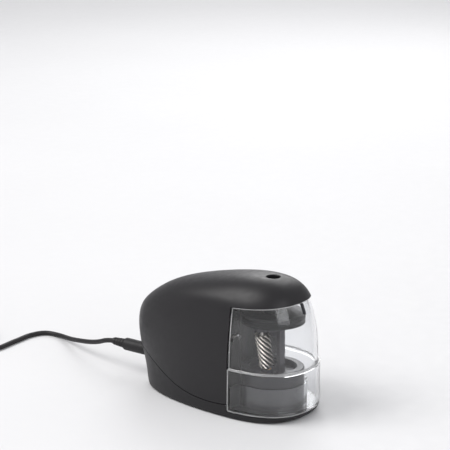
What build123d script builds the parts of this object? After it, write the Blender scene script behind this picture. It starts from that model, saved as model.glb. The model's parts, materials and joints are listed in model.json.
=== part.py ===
"""Desktop electric pencil sharpener: a soft-cornered housing, a clear shavings bin and a spiral cutter.

The pencil goes straight down into the hood at the front. +Z is up, -Y is the front, where the bin
pulls out, and the origin is the middle of the footprint on the table. All sizes are in millimetres.
"""

from build123d import *

import math
import os

os.makedirs("parts", exist_ok=True)

# ---------------------------------------------------------------- overall form
HALF_WIDTH = 31.4  # widest half width, low on the sides
FRONT_REACH = 41.0  # front of the body ahead of the seam between bin and housing
REAR_REACH = 90.0  # rear bulge behind the seam
BODY_HEIGHT = 85.0  # from the underside to the crown
FOOT_HEIGHT = 1.0  # how far the rubber feet hold the underside off the table
FRONT_FULLNESS = 0.69  # handle length of the plan curves: square-shouldered at the front
REAR_FULLNESS = 0.59  # and nearly an ellipse at the rear
SHELL = 2.2  # housing wall
GAP = 0.3  # working gap between pieces on different bodies
RUNNING = 0.05  # radial clearance of every bearing

SEAM_Y = (FRONT_REACH - REAR_REACH) / 2

# Level sections of the outer form: height as a share of the body, then how far the half width,
# the front and the rear stand in from their widest, and where the widest line lies from the seam.
FORM = [
    (0.000, 0.5, 3.2, 8.4, 0.0),
    (0.045, 0.0, 0.4, 7.4, 0.0),
    (0.153, 0.0, 0.2, 5.9, 0.0),
    (0.318, 0.2, 0.3, 1.8, 0.0),
    (0.482, 0.6, 0.3, 0.0, 0.0),
    (0.624, 1.7, 1.0, 3.6, 0.0),
    (0.741, 3.0, 3.2, 14.6, 0.0),
    (0.835, 4.7, 6.0, 28.6, 0.0),
    (0.906, 8.4, 9.4, 46.4, -1.0),
    (0.953, 13.0, 13.8, 63.8, -3.0),
    (0.984, 18.3, 19.3, 78.3, -6.0),
    (1.000, 24.3, 25.0, 89.0, -9.0),
]

# ---------------------------------------------------------------- hood, bin and base
HOOD_HEIGHT = 15.4  # from the hood's lower edge at the seam up to the crown
HOOD_EDGE_Z = FOOT_HEIGHT + BODY_HEIGHT - HOOD_HEIGHT
HOOD_EDGE_RISE = 3.4  # rise of that edge from the seam to the front
DECK_Z = 4.3  # top of the base plate under the bin
PARTING = [(0.0, 8.6), (21.0, 8.0), (40.0, 11.0), (60.0, 18.7), (74.0, 24.5), (95.0, 28.0)]
PARTING_GROOVE = 0.5
BIN_RING_Z = 32.0  # the step round the bin
BIN_STEP = 1.2  # the bin's upper wall stands in by this
BIN_WALL = 1.8
BIN_FLOOR = 2.0
BIN_WELL_HEIGHT = 15.4  # wall round the gearbox drum, above the bin's underside
BIN_WELL_WALL = 1.4
PULL_WIDTH = 1.4
PULL_DEPTH = 1.3
PULL_HEIGHT = 6.5

# ---------------------------------------------------------------- pencil path and cutter head
AXIS_AHEAD = 12.8  # pencil axis ahead of the seam
PENCIL_BORE_R = 4.1
ENTRY_R = 4.3
ENTRY_CHAMFER = 0.4
GUIDE_R = 6.4
NOZZLE_R = 5.2
NOZZLE_BORE_R = 4.4  # the guide opens out below its entry
HEAD_R = 19.5  # the round head over the cutter
HEAD_BELOW_HOOD = 13.0
HEAD_Z = HOOD_EDGE_Z - HEAD_BELOW_HOOD
NOZZLE_Z = HEAD_Z - 4.0
HEAD_HEIGHT = 6.4
HEAD_ROOF = 2.2
HEAD_GROOVE = 0.4
CONE_TIP_Z = 30.0  # where a sharpened point ends
CUTTER_TILT = 10.5
CUTTER_R = 4.7
CUTTER_BOTTOM = -0.5  # along the cutter's own axis, from the height of the cone's tip
CUTTER_BELOW_HEAD = 6.46
CUTTER_TOP = (HEAD_Z - CUTTER_BELOW_HEAD - CONE_TIP_Z) / math.cos(math.radians(CUTTER_TILT))
ARBOR_R = 1.5
ARBOR_BOTTOM = -6.5
ARBOR_TOP = CUTTER_TOP + 9.6
CUTTER_AZIMUTH = 165.0
RING_TEETH = 30
PLANET_TEETH = 8
PLANET_HEIGHT = 2.4
PLANET_Z = HEAD_Z + 1.7  # middle of the planet's mesh

# ---------------------------------------------------------------- gearbox and motor
DRUM_R = 19.4
DRUM_TOP = 21.0
COLLAR_TOP = 28.8  # the drum's wall goes on up round the carrier
COLLAR_IN_R = 15.0
NECK_TOP = 18.0
GEAR_MODULE = 0.8
PRESSURE_ANGLE = 20.0
ADDENDUM = 0.9  # tooth height above and below the pitch circle, in modules
DEDENDUM = 1.15
TOOTH_SLACK = 0.24  # share of a tooth's thickness left off as backlash
CARRIER_TEETH = 40
IDLER_SMALL_TEETH = 14
IDLER_LARGE_TEETH = 30
PINION_TEETH = 10
LOWER_GEAR_Z = 7.0
LOWER_GEAR_HEIGHT = 4.0
UPPER_GEAR_Z = 12.4
UPPER_GEAR_HEIGHT = 3.0
PINION_OVERHANG = 0.2  # pinion beyond its mate at each end
GEARBOX_WALL = 1.6
GEARBOX_PLATE = 2.0
NECK_HALF_WIDTH = 15.5
CARRIER_SHAFT_R = 4.0
BUSH_R = 6.0
IDLER_AXLE_R = 1.5
MOTOR_R = 13.85
MOTOR_LENGTH = 36.0
MOTOR_CAP = 3.0
MOTOR_WALL = 1.0
MOTOR_SHAFT_R = 1.0
ROTOR_R = 9.4
ROTOR_Z = 24.5
ROTOR_LENGTH = 21.0

CENTRES_LOW = GEAR_MODULE * (CARRIER_TEETH + IDLER_SMALL_TEETH) / 2
CENTRES_HIGH = GEAR_MODULE * (IDLER_LARGE_TEETH + PINION_TEETH) / 2
AXIS_Y = SEAM_Y - AXIS_AHEAD
IDLER_Y = AXIS_Y + CENTRES_LOW
MOTOR_Y = IDLER_Y + CENTRES_HIGH

# ---------------------------------------------------------------- lead
CORD_R = 1.6
CORD_ON_TABLE = 1.7
JACK_Z = 18.6
JACK_FACE = 81.5  # jack's rear face behind the seam
PLUG_R = 4.15
PLUG_LENGTH = 24.5
RELIEF_LENGTH = 10.0
COIL_MIDDLE_R = 19.0
COIL_HALF_THICK = 6.4
COIL_HEIGHT = 9.6

MIDDLE = (Align.CENTER, Align.CENTER, Align.CENTER)
STANDING = (Align.CENTER, Align.CENTER, Align.MIN)
CORNER = (Align.MIN, Align.MIN, Align.MIN)
FAR = 200.0  # longer than anything here, for cuts that pass right through


def post(x, y, low, high, radius, mode=Mode.ADD):
    """An upright cylinder between two heights."""
    with Locations((x, y, low)):
        Cylinder(radius, high - low, align=STANDING, mode=mode)


def block(x_low, x_high, y_low, y_high, z_low, z_high, mode=Mode.ADD):
    """A box between two corners."""
    with Locations((x_low, y_low, z_low)):
        Box(x_high - x_low, y_high - y_low, z_high - z_low, align=CORNER, mode=mode)


def body_form(inset):
    """The outer form, or a copy that stands in from it by a wall."""
    with BuildPart() as form:
        for share, narrowing, front_setback, rear_setback, waist in FORM:
            height = FOOT_HEIGHT + share * (BODY_HEIGHT - inset)
            half = HALF_WIDTH - narrowing - inset
            front = SEAM_Y - (FRONT_REACH - front_setback - inset)
            rear = SEAM_Y + (REAR_REACH - rear_setback - inset)
            waist_y = SEAM_Y + waist
            front_handle = waist_y + FRONT_FULLNESS * (front - waist_y)
            rear_handle = waist_y + REAR_FULLNESS * (rear - waist_y)
            with BuildSketch(Plane.XY.offset(height)):
                with BuildLine():
                    Bezier((half, waist_y), (half, rear_handle), (half * REAR_FULLNESS, rear), (0, rear))
                    Bezier((0, rear), (-half * REAR_FULLNESS, rear), (-half, rear_handle), (-half, waist_y))
                    Bezier(
                        (-half, waist_y),
                        (-half, front_handle),
                        (-half * FRONT_FULLNESS, front),
                        (0, front),
                    )
                    Bezier((0, front), (half * FRONT_FULLNESS, front), (half, front_handle), (half, waist_y))
                make_face()
        loft()
    return form.part


def rod_along_y(x, y_low, y_high, z, radius, mode=Mode.ADD):
    """A level cylinder that runs front to back."""
    with Locations(Location((x, y_low, z), (-90, 0, 0))):
        Cylinder(radius, y_high - y_low, align=STANDING, mode=mode)


def rod_along_x(x_low, x_high, y, z, radius, mode=Mode.ADD):
    """A level cylinder that runs side to side."""
    with Locations(Location((x_low, y, z), (0, 90, 0))):
        Cylinder(radius, x_high - x_low, align=STANDING, mode=mode)


def hood_edge(ahead):
    """Height of the hood's lower edge at a distance ahead of the seam."""
    return HOOD_EDGE_Z + HOOD_EDGE_RISE * ahead / FRONT_REACH


def front_zone(clearance):
    """All that lies ahead of the seam between the base plate and the hood, less a clearance."""
    ahead = FRONT_REACH + 20
    return side_prism(
        [
            (SEAM_Y - clearance, DECK_Z + clearance),
            (SEAM_Y - clearance, hood_edge(0) - clearance),
            (SEAM_Y - ahead, hood_edge(ahead) - clearance),
            (SEAM_Y - ahead, DECK_Z + clearance),
        ]
    )


def side_prism(points):
    """A solid as wide as the whole body and more, from an outline in the YZ plane."""
    with BuildPart() as prism:
        with BuildSketch(Plane.YZ):
            with BuildLine():
                Polyline(*points, close=True)
            make_face()
        extrude(amount=FAR, both=True)
    return prism.part


def base_zone(raise_by):
    """Everything below the parting line between the two housings."""
    line = [(SEAM_Y + back, height + raise_by) for back, height in PARTING]
    with BuildPart() as zone:
        with BuildSketch(Plane.YZ):
            with BuildLine():
                Spline(*line)
                Polyline(
                    line[-1],
                    (line[-1][0], -FAR),
                    (-FAR, -FAR),
                    (-FAR, DECK_Z),
                    (SEAM_Y, DECK_Z),
                    line[0],
                )
            make_face()
        extrude(amount=FAR, both=True)
    return zone.part


def gear_points(teeth, module, phase, scale=1.0, slack=TOOTH_SLACK, rise=ADDENDUM, fall=DEDENDUM):
    """Corners of a spur gear with straight-sided teeth, one tooth standing at the phase angle."""
    pitch = module * teeth / 2
    half = math.pi * module / 4 * (1 - slack)
    slope = math.tan(math.radians(PRESSURE_ANGLE))
    tip, root = pitch + rise * module, pitch - fall * module
    tip_half, root_half = half - rise * module * slope, half + fall * module * slope
    corners = []
    for tooth in range(teeth):
        middle = math.radians(phase) + 2 * math.pi * tooth / teeth
        for radius, across in ((root, -root_half), (tip, -tip_half), (tip, tip_half), (root, root_half)):
            turn = middle + across / radius
            corners.append((scale * radius * math.cos(turn), scale * radius * math.sin(turn)))
    return corners


outer_form = body_form(0.0)
inner_form = body_form(SHELL)

# ================================================================ housings
CROWN = FOOT_HEIGHT + BODY_HEIGHT
FLOOR = 2.0
FLOOR_Z = FOOT_HEIGHT + FLOOR
BOSSES = [(22.0, 12.0, 12.0), (-22.0, 12.0, 12.0), (15.0, 66.0, 24.0), (-15.0, 66.0, 24.0)]
BOSS_R = 3.2
SCREW_R = 1.4
SCREW_HEAD_R = 2.6
SCREW_HEAD = 1.6
SCREW_HEAD_SET_IN = 0.3  # screw heads stop this far inside the underside
DRIVE_LENGTH = 3.2  # cross recess in a screw head
DRIVE_WIDTH = 0.7
DRIVE_DEPTH = 0.8
SCREW_BITE = 8.0  # how far a screw reaches into the upper boss
FEET = [(19.0, -17.0), (-19.0, -17.0), (17.0, 57.0), (-17.0, 57.0)]
FOOT_R = 5.0
FOOT_SEAT = 0.8
FOOT_BEVEL = 0.4
ROOT = 0.5  # how far posts start inside what they stand on
BRACKET_POST_X = 19.5
BRACKET_POST_R = 3.0
BRACKET_Z = 34.0
BRACKET_THICK = 2.0
BRACKET_RIM = 1.2  # bracket ring beyond the motor
BRACKET_SCREW_BITE = 6.0
EARS = [(16.2, 8.6), (-16.2, 8.6)]  # gearbox ears, from the motor's axis
EAR_R = 3.6
EAR_HEIGHT = 2.7
BOARD_Z = 11.0
BOARD_THICK = 1.6
BOARD_HALF = 11.0
BOARD_FRONT = 50.0
BOARD_REAR = 76.0
STANDOFF_X = 8.0
STANDOFF_R = 2.0
STANDOFF_IN = 4.0  # standoffs inside the board's ends
PLUG_HOLE_CLEARANCE = 0.35


def gearbox_plan(inset, with_ears):
    """Plan of the gearbox: a round drum under the cutter and a neck back to the motor."""
    half = NECK_HALF_WIDTH - inset
    with BuildSketch() as plan:
        with Locations((0, AXIS_Y)):
            Circle(DRUM_R - inset)
        with Locations((0, (AXIS_Y + MOTOR_Y) / 2)):
            Rectangle(2 * half, MOTOR_Y - AXIS_Y)
        with Locations((0, MOTOR_Y)):
            Circle(half)
        if with_ears:
            with Locations(*[(x, MOTOR_Y + back) for x, back in EARS]):
                Circle(EAR_R)
    return plan.sketch


gearbox_foot = gearbox_plan(0.0, True)
gearbox_full = gearbox_plan(0.0, False)
gearbox_hollow = gearbox_plan(GEARBOX_WALL, False)
bin_bay = front_zone(0.0)
upper_zone_cut = base_zone(PARTING_GROOVE)
lower_zone = base_zone(0.0)
half_wall_form = body_form(SHELL / 2)

with BuildPart() as boss_columns:
    for boss_x, boss_back, split in BOSSES:
        post(boss_x, SEAM_Y + boss_back, split, CROWN, BOSS_R)
    add(half_wall_form, mode=Mode.INTERSECT)

with BuildPart() as upper_housing:
    add(outer_form)
    add(inner_form, mode=Mode.SUBTRACT)
    add(boss_columns.part)
    add(bin_bay, mode=Mode.SUBTRACT)
    add(upper_zone_cut, mode=Mode.SUBTRACT)
    post(0, AXIS_Y, CROWN - 2 * SHELL, CROWN, ENTRY_R, mode=Mode.SUBTRACT)
    with Locations((0, AXIS_Y, CROWN - ENTRY_CHAMFER)):
        Cone(ENTRY_R, ENTRY_R + 2 * ENTRY_CHAMFER, 2 * ENTRY_CHAMFER, align=STANDING, mode=Mode.SUBTRACT)
    for boss_x, boss_back, split in BOSSES:
        post(boss_x, SEAM_Y + boss_back, split, split + SCREW_BITE + 1, SCREW_R, mode=Mode.SUBTRACT)
upper_housing.part.label = "upper_housing"
export_step(upper_housing.part, "parts/upper_housing.step")

with BuildPart() as base_hollow:
    add(inner_form)
    block(-FAR, FAR, -FAR, FAR, -FAR, FLOOR_Z, mode=Mode.SUBTRACT)
    block(-FAR, FAR, -FAR, SEAM_Y, -FAR, FAR, mode=Mode.SUBTRACT)

with BuildPart() as base_housing:
    add(outer_form)
    add(base_hollow.part, mode=Mode.SUBTRACT)
    add(lower_zone, mode=Mode.INTERSECT)
    extrude(gearbox_foot.moved(Location((0, 0, FLOOR_Z - ROOT))), amount=DECK_Z - FLOOR_Z + ROOT)
    for boss_x, boss_back, split in BOSSES:
        post(boss_x, SEAM_Y + boss_back, FLOOR_Z - ROOT, split, BOSS_R)
    for side in (-1, 1):
        post(side * BRACKET_POST_X, MOTOR_Y, FLOOR_Z - ROOT, BRACKET_Z, BRACKET_POST_R)
        post(side * STANDOFF_X, SEAM_Y + BOARD_FRONT + STANDOFF_IN, FLOOR_Z - ROOT, BOARD_Z, STANDOFF_R)
        post(side * STANDOFF_X, SEAM_Y + BOARD_REAR - STANDOFF_IN, FLOOR_Z - ROOT, BOARD_Z, STANDOFF_R)
    for boss_x, boss_back, split in BOSSES:
        post(boss_x, SEAM_Y + boss_back, 0, split, SCREW_R, mode=Mode.SUBTRACT)
        post(boss_x, SEAM_Y + boss_back, 0, FOOT_HEIGHT + SCREW_HEAD, SCREW_HEAD_R, mode=Mode.SUBTRACT)
    for foot_x, foot_back in FEET:
        post(foot_x, SEAM_Y + foot_back, 0, FOOT_HEIGHT + FOOT_SEAT, FOOT_R, mode=Mode.SUBTRACT)
    for ear_x, ear_back in EARS:
        post(ear_x, MOTOR_Y + ear_back, FOOT_HEIGHT + 1, DECK_Z, SCREW_R, mode=Mode.SUBTRACT)
    for side in (-1, 1):
        post(
            side * BRACKET_POST_X,
            MOTOR_Y,
            BRACKET_Z - BRACKET_SCREW_BITE,
            BRACKET_Z,
            SCREW_R,
            mode=Mode.SUBTRACT,
        )
    rod_along_y(
        0,
        SEAM_Y + JACK_FACE - 1,
        SEAM_Y + REAR_REACH,
        JACK_Z,
        PLUG_R + PLUG_HOLE_CLEARANCE,
        mode=Mode.SUBTRACT,
    )
base_housing.part.label = "base_housing"
export_step(base_housing.part, "parts/base_housing.step")

with BuildPart() as rubber_feet:
    for foot_x, foot_back in FEET:
        post(foot_x, SEAM_Y + foot_back, 0, FOOT_HEIGHT + FOOT_SEAT, FOOT_R)
    chamfer(rubber_feet.edges().group_by(Axis.Z)[0], FOOT_BEVEL)
rubber_feet.part.label = "rubber_feet"
export_step(rubber_feet.part, "parts/rubber_feet.step")

with BuildPart() as housing_screws:
    for boss_x, boss_back, split in BOSSES:
        post(
            boss_x,
            SEAM_Y + boss_back,
            FOOT_HEIGHT + SCREW_HEAD_SET_IN,
            FOOT_HEIGHT + SCREW_HEAD,
            SCREW_HEAD_R,
        )
        post(boss_x, SEAM_Y + boss_back, FOOT_HEIGHT + SCREW_HEAD, split + SCREW_BITE, SCREW_R)
        with Locations((boss_x, SEAM_Y + boss_back, FOOT_HEIGHT + SCREW_HEAD_SET_IN)):
            Box(DRIVE_LENGTH, DRIVE_WIDTH, DRIVE_DEPTH, align=STANDING, mode=Mode.SUBTRACT)
            Box(DRIVE_WIDTH, DRIVE_LENGTH, DRIVE_DEPTH, align=STANDING, mode=Mode.SUBTRACT)
housing_screws.part.label = "housing_screws"
export_step(housing_screws.part, "parts/housing_screws.step")

# ================================================================ bulkhead
BULKHEAD = 2.0
BULKHEAD_GAP = 0.15
NICHE_R = HEAD_R + 1.1
NICHE_WALL = 1.6
SLOT_X = -21.5
SLOT_WIDTH = 6.4
SLOT_Z = HEAD_Z - 7.6
SLOT_HEIGHT = 5.0

bulkhead_room = body_form(SHELL + BULKHEAD_GAP)

with BuildPart() as bulkhead:
    block(-HALF_WIDTH, HALF_WIDTH, SEAM_Y, SEAM_Y + BULKHEAD, FLOOR_Z + BULKHEAD_GAP, CROWN)
    post(0, AXIS_Y, FLOOR_Z + BULKHEAD_GAP, CROWN, NICHE_R + NICHE_WALL)
    block(-FAR, FAR, -FAR, SEAM_Y, 0, FAR, mode=Mode.SUBTRACT)
    post(0, AXIS_Y, 0, CROWN, NICHE_R, mode=Mode.SUBTRACT)
    add(bulkhead_room, mode=Mode.INTERSECT)
    neck = NECK_HALF_WIDTH + GAP
    block(-neck, neck, SEAM_Y - 1, SEAM_Y + NICHE_R, 0, NECK_TOP + GAP, mode=Mode.SUBTRACT)
    post(0, MOTOR_Y, 0, CROWN, MOTOR_R + BRACKET_RIM + BULKHEAD_GAP, mode=Mode.SUBTRACT)
    block(
        SLOT_X - SLOT_WIDTH / 2,
        SLOT_X + SLOT_WIDTH / 2,
        SEAM_Y - 1,
        SEAM_Y + BULKHEAD + 1,
        SLOT_Z - SLOT_HEIGHT / 2,
        SLOT_Z + SLOT_HEIGHT / 2,
        mode=Mode.SUBTRACT,
    )
bulkhead.part.label = "bulkhead"
export_step(bulkhead.part, "parts/bulkhead.step")

# ================================================================ head over the cutter, and the pencil guide
HEAD_TOP = HEAD_Z + HEAD_HEIGHT
HEAD_HOLLOW_TOP = HEAD_TOP - HEAD_ROOF
RING_R = 17.6
ARM_HALF = 9.0
EAR_IN = 3.1
EAR_OUT = 5.1
LEVER_BACK = 9.6  # lever's pivot behind the pencil axis
LEVER_Z = HEAD_TOP + 10.0
LEVER_PIN_R = 1.0
LEVER_HALF = 2.4
LEVER_THICK = 2.4
FINGER_REACH = 2.2  # the finger's tip stops this far from the pencil axis
FINGER_HEIGHT = 2.4
FINGER_Z = HEAD_TOP + 2.2
FINGER_SLOT_HALF = 3.4
GUIDE_SLOT_TOP = HEAD_TOP + 6.0
EAR_HALF = 2.0

GROOVE_WIDTH = 0.5
groove_heights = [HEAD_Z + 1.6, HEAD_Z + 4.2]
with BuildPart() as head_grooves:
    for groove_z in groove_heights:
        post(0, AXIS_Y, groove_z, groove_z + GROOVE_WIDTH, HEAD_R + 1)
        post(0, AXIS_Y, groove_z, groove_z + GROOVE_WIDTH, HEAD_R - HEAD_GROOVE, mode=Mode.SUBTRACT)

with BuildPart() as head_arm:
    block(-ARM_HALF, ARM_HALF, AXIS_Y + RING_R, AXIS_Y + NICHE_R, HEAD_HOLLOW_TOP, HEAD_TOP)
    with BuildSketch(Plane.XY.offset(HEAD_HOLLOW_TOP)):
        with Locations((0, AXIS_Y)):
            Circle(NICHE_R - BULKHEAD_GAP)
    extrude(amount=HEAD_ROOF, mode=Mode.INTERSECT)

with BuildPart() as head_housing:
    post(0, AXIS_Y, HEAD_Z, HEAD_TOP, HEAD_R)
    add(head_grooves.part, mode=Mode.SUBTRACT)
    add(head_arm.part)
    for side in (-1, 1):
        inner, outer = sorted((side * EAR_IN, side * EAR_OUT))
        ear_y = AXIS_Y + LEVER_BACK
        block(inner, outer, ear_y - EAR_HALF, ear_y + EAR_HALF, HEAD_TOP, LEVER_Z + EAR_HALF)
    rod_along_x(-EAR_OUT, EAR_OUT, AXIS_Y + LEVER_BACK, LEVER_Z, LEVER_PIN_R, mode=Mode.SUBTRACT)
    post(0, AXIS_Y, HEAD_Z, HEAD_HOLLOW_TOP, RING_R, mode=Mode.SUBTRACT)
    post(0, AXIS_Y, HEAD_Z, HEAD_TOP, NOZZLE_R, mode=Mode.SUBTRACT)
head_housing.part.label = "head_housing"
export_step(head_housing.part, "parts/head_housing.step")

with BuildPart() as pencil_guide:
    post(0, AXIS_Y, HEAD_TOP, CROWN, GUIDE_R)
    add(bulkhead_room, mode=Mode.INTERSECT)
    post(0, AXIS_Y, NOZZLE_Z, HEAD_TOP, NOZZLE_R)
    post(0, AXIS_Y, GUIDE_SLOT_TOP, CROWN, PENCIL_BORE_R, mode=Mode.SUBTRACT)
    post(0, AXIS_Y, NOZZLE_Z - 1, GUIDE_SLOT_TOP, NOZZLE_BORE_R, mode=Mode.SUBTRACT)
    block(
        -FINGER_SLOT_HALF,
        FINGER_SLOT_HALF,
        AXIS_Y,
        AXIS_Y + GUIDE_R + 1,
        HEAD_TOP,
        GUIDE_SLOT_TOP,
        mode=Mode.SUBTRACT,
    )
pencil_guide.part.label = "pencil_guide"
export_step(pencil_guide.part, "parts/pencil_guide.step")

# ================================================================ cutter geometry
tilt = math.radians(CUTTER_TILT)
azimuth = math.radians(CUTTER_AZIMUTH)
outward = (math.cos(azimuth), math.sin(azimuth))
foot_offset = CUTTER_R / math.cos(tilt)


def cutter_offset(height):
    """How far the cutter's axis stands from the pencil's axis at a height."""
    return foot_offset + (height - CONE_TIP_Z) * math.tan(tilt)


cutter_plane = Plane(
    origin=(foot_offset * outward[0], AXIS_Y + foot_offset * outward[1], CONE_TIP_Z),
    x_dir=(math.cos(tilt) * outward[0], math.cos(tilt) * outward[1], -math.sin(tilt)),
    z_dir=(math.sin(tilt) * outward[0], math.sin(tilt) * outward[1], math.cos(tilt)),
)


def leaning(low, high, radius, mode=Mode.ADD):
    """A cylinder on the cutter's own axis."""
    with Locations(cutter_plane.offset(low).location):
        Cylinder(radius, high - low, align=STANDING, mode=mode)


mesh_offset = cutter_offset(PLANET_Z)
planet_module = 2 * mesh_offset / (RING_TEETH - PLANET_TEETH)
planet_pitch = planet_module * PLANET_TEETH / 2
planet_middle = (PLANET_Z - CONE_TIP_Z) / math.cos(tilt)

with BuildPart() as ring_gear:
    post(0, AXIS_Y, HEAD_Z, HEAD_HOLLOW_TOP - 0.4, RING_R)
    with BuildSketch(Plane.XY.offset(HEAD_Z)):
        with BuildLine():
            void = gear_points(
                RING_TEETH, planet_module, CUTTER_AZIMUTH, slack=-TOOTH_SLACK, rise=DEDENDUM, fall=ADDENDUM
            )
            Polyline(*[(x, y + AXIS_Y) for x, y in void], close=True)
        make_face()
    extrude(amount=HEAD_HEIGHT, mode=Mode.SUBTRACT)
ring_gear.part.label = "ring_gear"
export_step(ring_gear.part, "parts/ring_gear.step")

# ================================================================ cutter carrier
CARRIER_Z = 22.0
CARRIER_DISC_R = 13.5
CARRIER_DISC = 3.4
CARRIER_BOSS_R = 4.4
CARRIER_BOSS_TOP = 27.4
HUB_R = 8.2
HUB_Z = HEAD_Z - 4.4
HUB_TOP = HEAD_Z - 1.0
HUB_EYE_R = 4.0
FUNNEL_Z = HEAD_Z - 8.1
FUNNEL_R = 5.9
LEG_IN = 5.6
LEG_WIDTH = 4.6
LEG_TURN = 95.0
PIVOT_BUSH_R = 2.6
PIVOT_BUSH_LENGTH = 3.2
LOWER_BUSH_AT = -6.0
UPPER_BUSH_AT = CUTTER_TOP + 2.3

upper_eye = cutter_offset((HUB_Z + HUB_TOP) / 2)
lower_eye = cutter_offset(CARRIER_BOSS_TOP)
carrier_plane = Plane(origin=(0, AXIS_Y, 0), x_dir=(outward[0], outward[1], 0), z_dir=(0, 0, 1))

with BuildPart() as cutter_carrier:
    post(0, AXIS_Y, LOWER_GEAR_Z, CARRIER_Z, CARRIER_SHAFT_R)
    post(0, AXIS_Y, CARRIER_Z, CARRIER_Z + CARRIER_DISC, CARRIER_DISC_R)
    post(lower_eye * outward[0], AXIS_Y + lower_eye * outward[1], CARRIER_Z, CARRIER_BOSS_TOP, CARRIER_BOSS_R)
    post(0, AXIS_Y, HUB_Z, HUB_TOP, HUB_R)
    post(upper_eye * outward[0], AXIS_Y + upper_eye * outward[1], HUB_Z, HUB_TOP, HUB_EYE_R)
    with BuildSketch(carrier_plane.offset(HUB_Z)):
        with Locations((upper_eye / 2, 0)):
            Rectangle(upper_eye, 2 * HUB_EYE_R)
    extrude(amount=HUB_TOP - HUB_Z)
    with Locations((0, AXIS_Y, FUNNEL_Z)):
        Cone(FUNNEL_R, HUB_R - 0.8, HUB_Z - FUNNEL_Z, align=STANDING)
    with BuildSketch(carrier_plane.offset(CARRIER_Z)):
        for turn in (-LEG_TURN, LEG_TURN):
            with Locations(Location((0, 0, 0), (0, 0, turn)) * Location(((LEG_IN + HUB_R) / 2, 0, 0))):
                Rectangle(HUB_R - LEG_IN, LEG_WIDTH)
    extrude(amount=HUB_TOP - CARRIER_Z)
    post(0, AXIS_Y, HUB_Z, HUB_TOP, NOZZLE_R + RUNNING, mode=Mode.SUBTRACT)
    post(0, AXIS_Y, FUNNEL_Z - 1, HUB_Z, NOZZLE_BORE_R + GAP, mode=Mode.SUBTRACT)
    leaning(LOWER_BUSH_AT - 1, CUTTER_BOTTOM, ARBOR_R + GAP, mode=Mode.SUBTRACT)
    leaning(LOWER_BUSH_AT, CUTTER_BOTTOM, PIVOT_BUSH_R, mode=Mode.SUBTRACT)
    leaning(CUTTER_BOTTOM, CUTTER_TOP + 1, CUTTER_R + 2 * GAP, mode=Mode.SUBTRACT)
    leaning(CUTTER_TOP, ARBOR_TOP, PIVOT_BUSH_R, mode=Mode.SUBTRACT)
cutter_carrier.part.label = "cutter_carrier"
export_step(cutter_carrier.part, "parts/cutter_carrier.step")

with BuildPart() as cutter_bushes:
    leaning(LOWER_BUSH_AT, LOWER_BUSH_AT + PIVOT_BUSH_LENGTH, PIVOT_BUSH_R)
    leaning(UPPER_BUSH_AT, UPPER_BUSH_AT + PIVOT_BUSH_LENGTH, PIVOT_BUSH_R)
    leaning(ARBOR_BOTTOM - 1, ARBOR_TOP + 1, ARBOR_R + RUNNING, mode=Mode.SUBTRACT)
cutter_bushes.part.label = "cutter_bushes"
export_step(cutter_bushes.part, "parts/cutter_bushes.step")

with BuildPart() as cutter_arbor:
    leaning(ARBOR_BOTTOM, ARBOR_TOP, ARBOR_R)
cutter_arbor.part.label = "cutter_arbor"
export_step(cutter_arbor.part, "parts/cutter_arbor.step")

# ---------------------------------------------------------------- spiral cutter
FLUTES = 12
FLUTE_DEPTH = 0.8
FLUTE_TWIST = 100.0  # degrees from end to end
FLUTE_STEPS = 6

with BuildPart() as helical_cutter:
    for step in range(FLUTE_STEPS + 1):
        share = step / FLUTE_STEPS
        level = CUTTER_BOTTOM + share * (CUTTER_TOP - CUTTER_BOTTOM)
        corners = []
        for flute in range(2 * FLUTES):
            radius = CUTTER_R - FLUTE_DEPTH * (flute % 2)
            turn = math.radians(180.0 * flute / FLUTES + share * FLUTE_TWIST)
            corners.append((radius * math.cos(turn), radius * math.sin(turn)))
        with BuildSketch(cutter_plane.offset(level)):
            with BuildLine():
                Polyline(*corners, close=True)
            make_face()
    loft(ruled=True)
    leaning(CUTTER_BOTTOM - 1, CUTTER_TOP + 1, ARBOR_R, mode=Mode.SUBTRACT)
helical_cutter.part.label = "helical_cutter"
export_step(helical_cutter.part, "parts/helical_cutter.step")

with BuildPart() as cutter_pinion:
    for end in (-1, 1):
        taper = 1 - end * PLANET_HEIGHT / 2 * math.tan(tilt) / planet_pitch
        with BuildSketch(cutter_plane.offset(planet_middle + end * PLANET_HEIGHT / 2)):
            with BuildLine():
                Polyline(*gear_points(PLANET_TEETH, planet_module, 0.0, scale=taper), close=True)
            make_face()
    loft(ruled=True)
    leaning(CUTTER_TOP, ARBOR_TOP + 2, ARBOR_R, mode=Mode.SUBTRACT)
cutter_pinion.part.label = "cutter_pinion"
export_step(cutter_pinion.part, "parts/cutter_pinion.step")

# ================================================================ gearbox
PLATE_TOP = DECK_Z + GEARBOX_PLATE
NECK_ROOF = 1.8
GEAR_HEADROOM = 0.9
DRUM_ROUND = 0.8
PLAIN_HEAD = 1.5  # height of the gearbox and bracket screw heads
LOWER_ROOM_TOP = LOWER_GEAR_Z + LOWER_GEAR_HEIGHT + GEAR_HEADROOM
UPPER_ROOM_TOP = NECK_TOP - NECK_ROOF
IDLER_ROOM_R = 13.8
AXLE_SEAT = 0.5  # the idler axle stops this far inside each plate
MOTOR_ROOM_R = 11.0
MOTOR_SCREW_X = 8.0
MOTOR_SCREW_R = 1.2
MOTOR_SCREW_HEAD_R = 2.0
MOTOR_NOSE_R = 3.0

with BuildPart() as gearbox_base:
    extrude(gearbox_foot.moved(Location((0, 0, DECK_Z))), amount=GEARBOX_PLATE)
    post(0, IDLER_Y, DECK_Z + AXLE_SEAT, PLATE_TOP, IDLER_AXLE_R, mode=Mode.SUBTRACT)
    for ear_x, ear_back in EARS:
        post(ear_x, MOTOR_Y + ear_back, DECK_Z, PLATE_TOP, SCREW_R, mode=Mode.SUBTRACT)
gearbox_base.part.label = "gearbox_base"
export_step(gearbox_base.part, "parts/gearbox_base.step")

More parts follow.
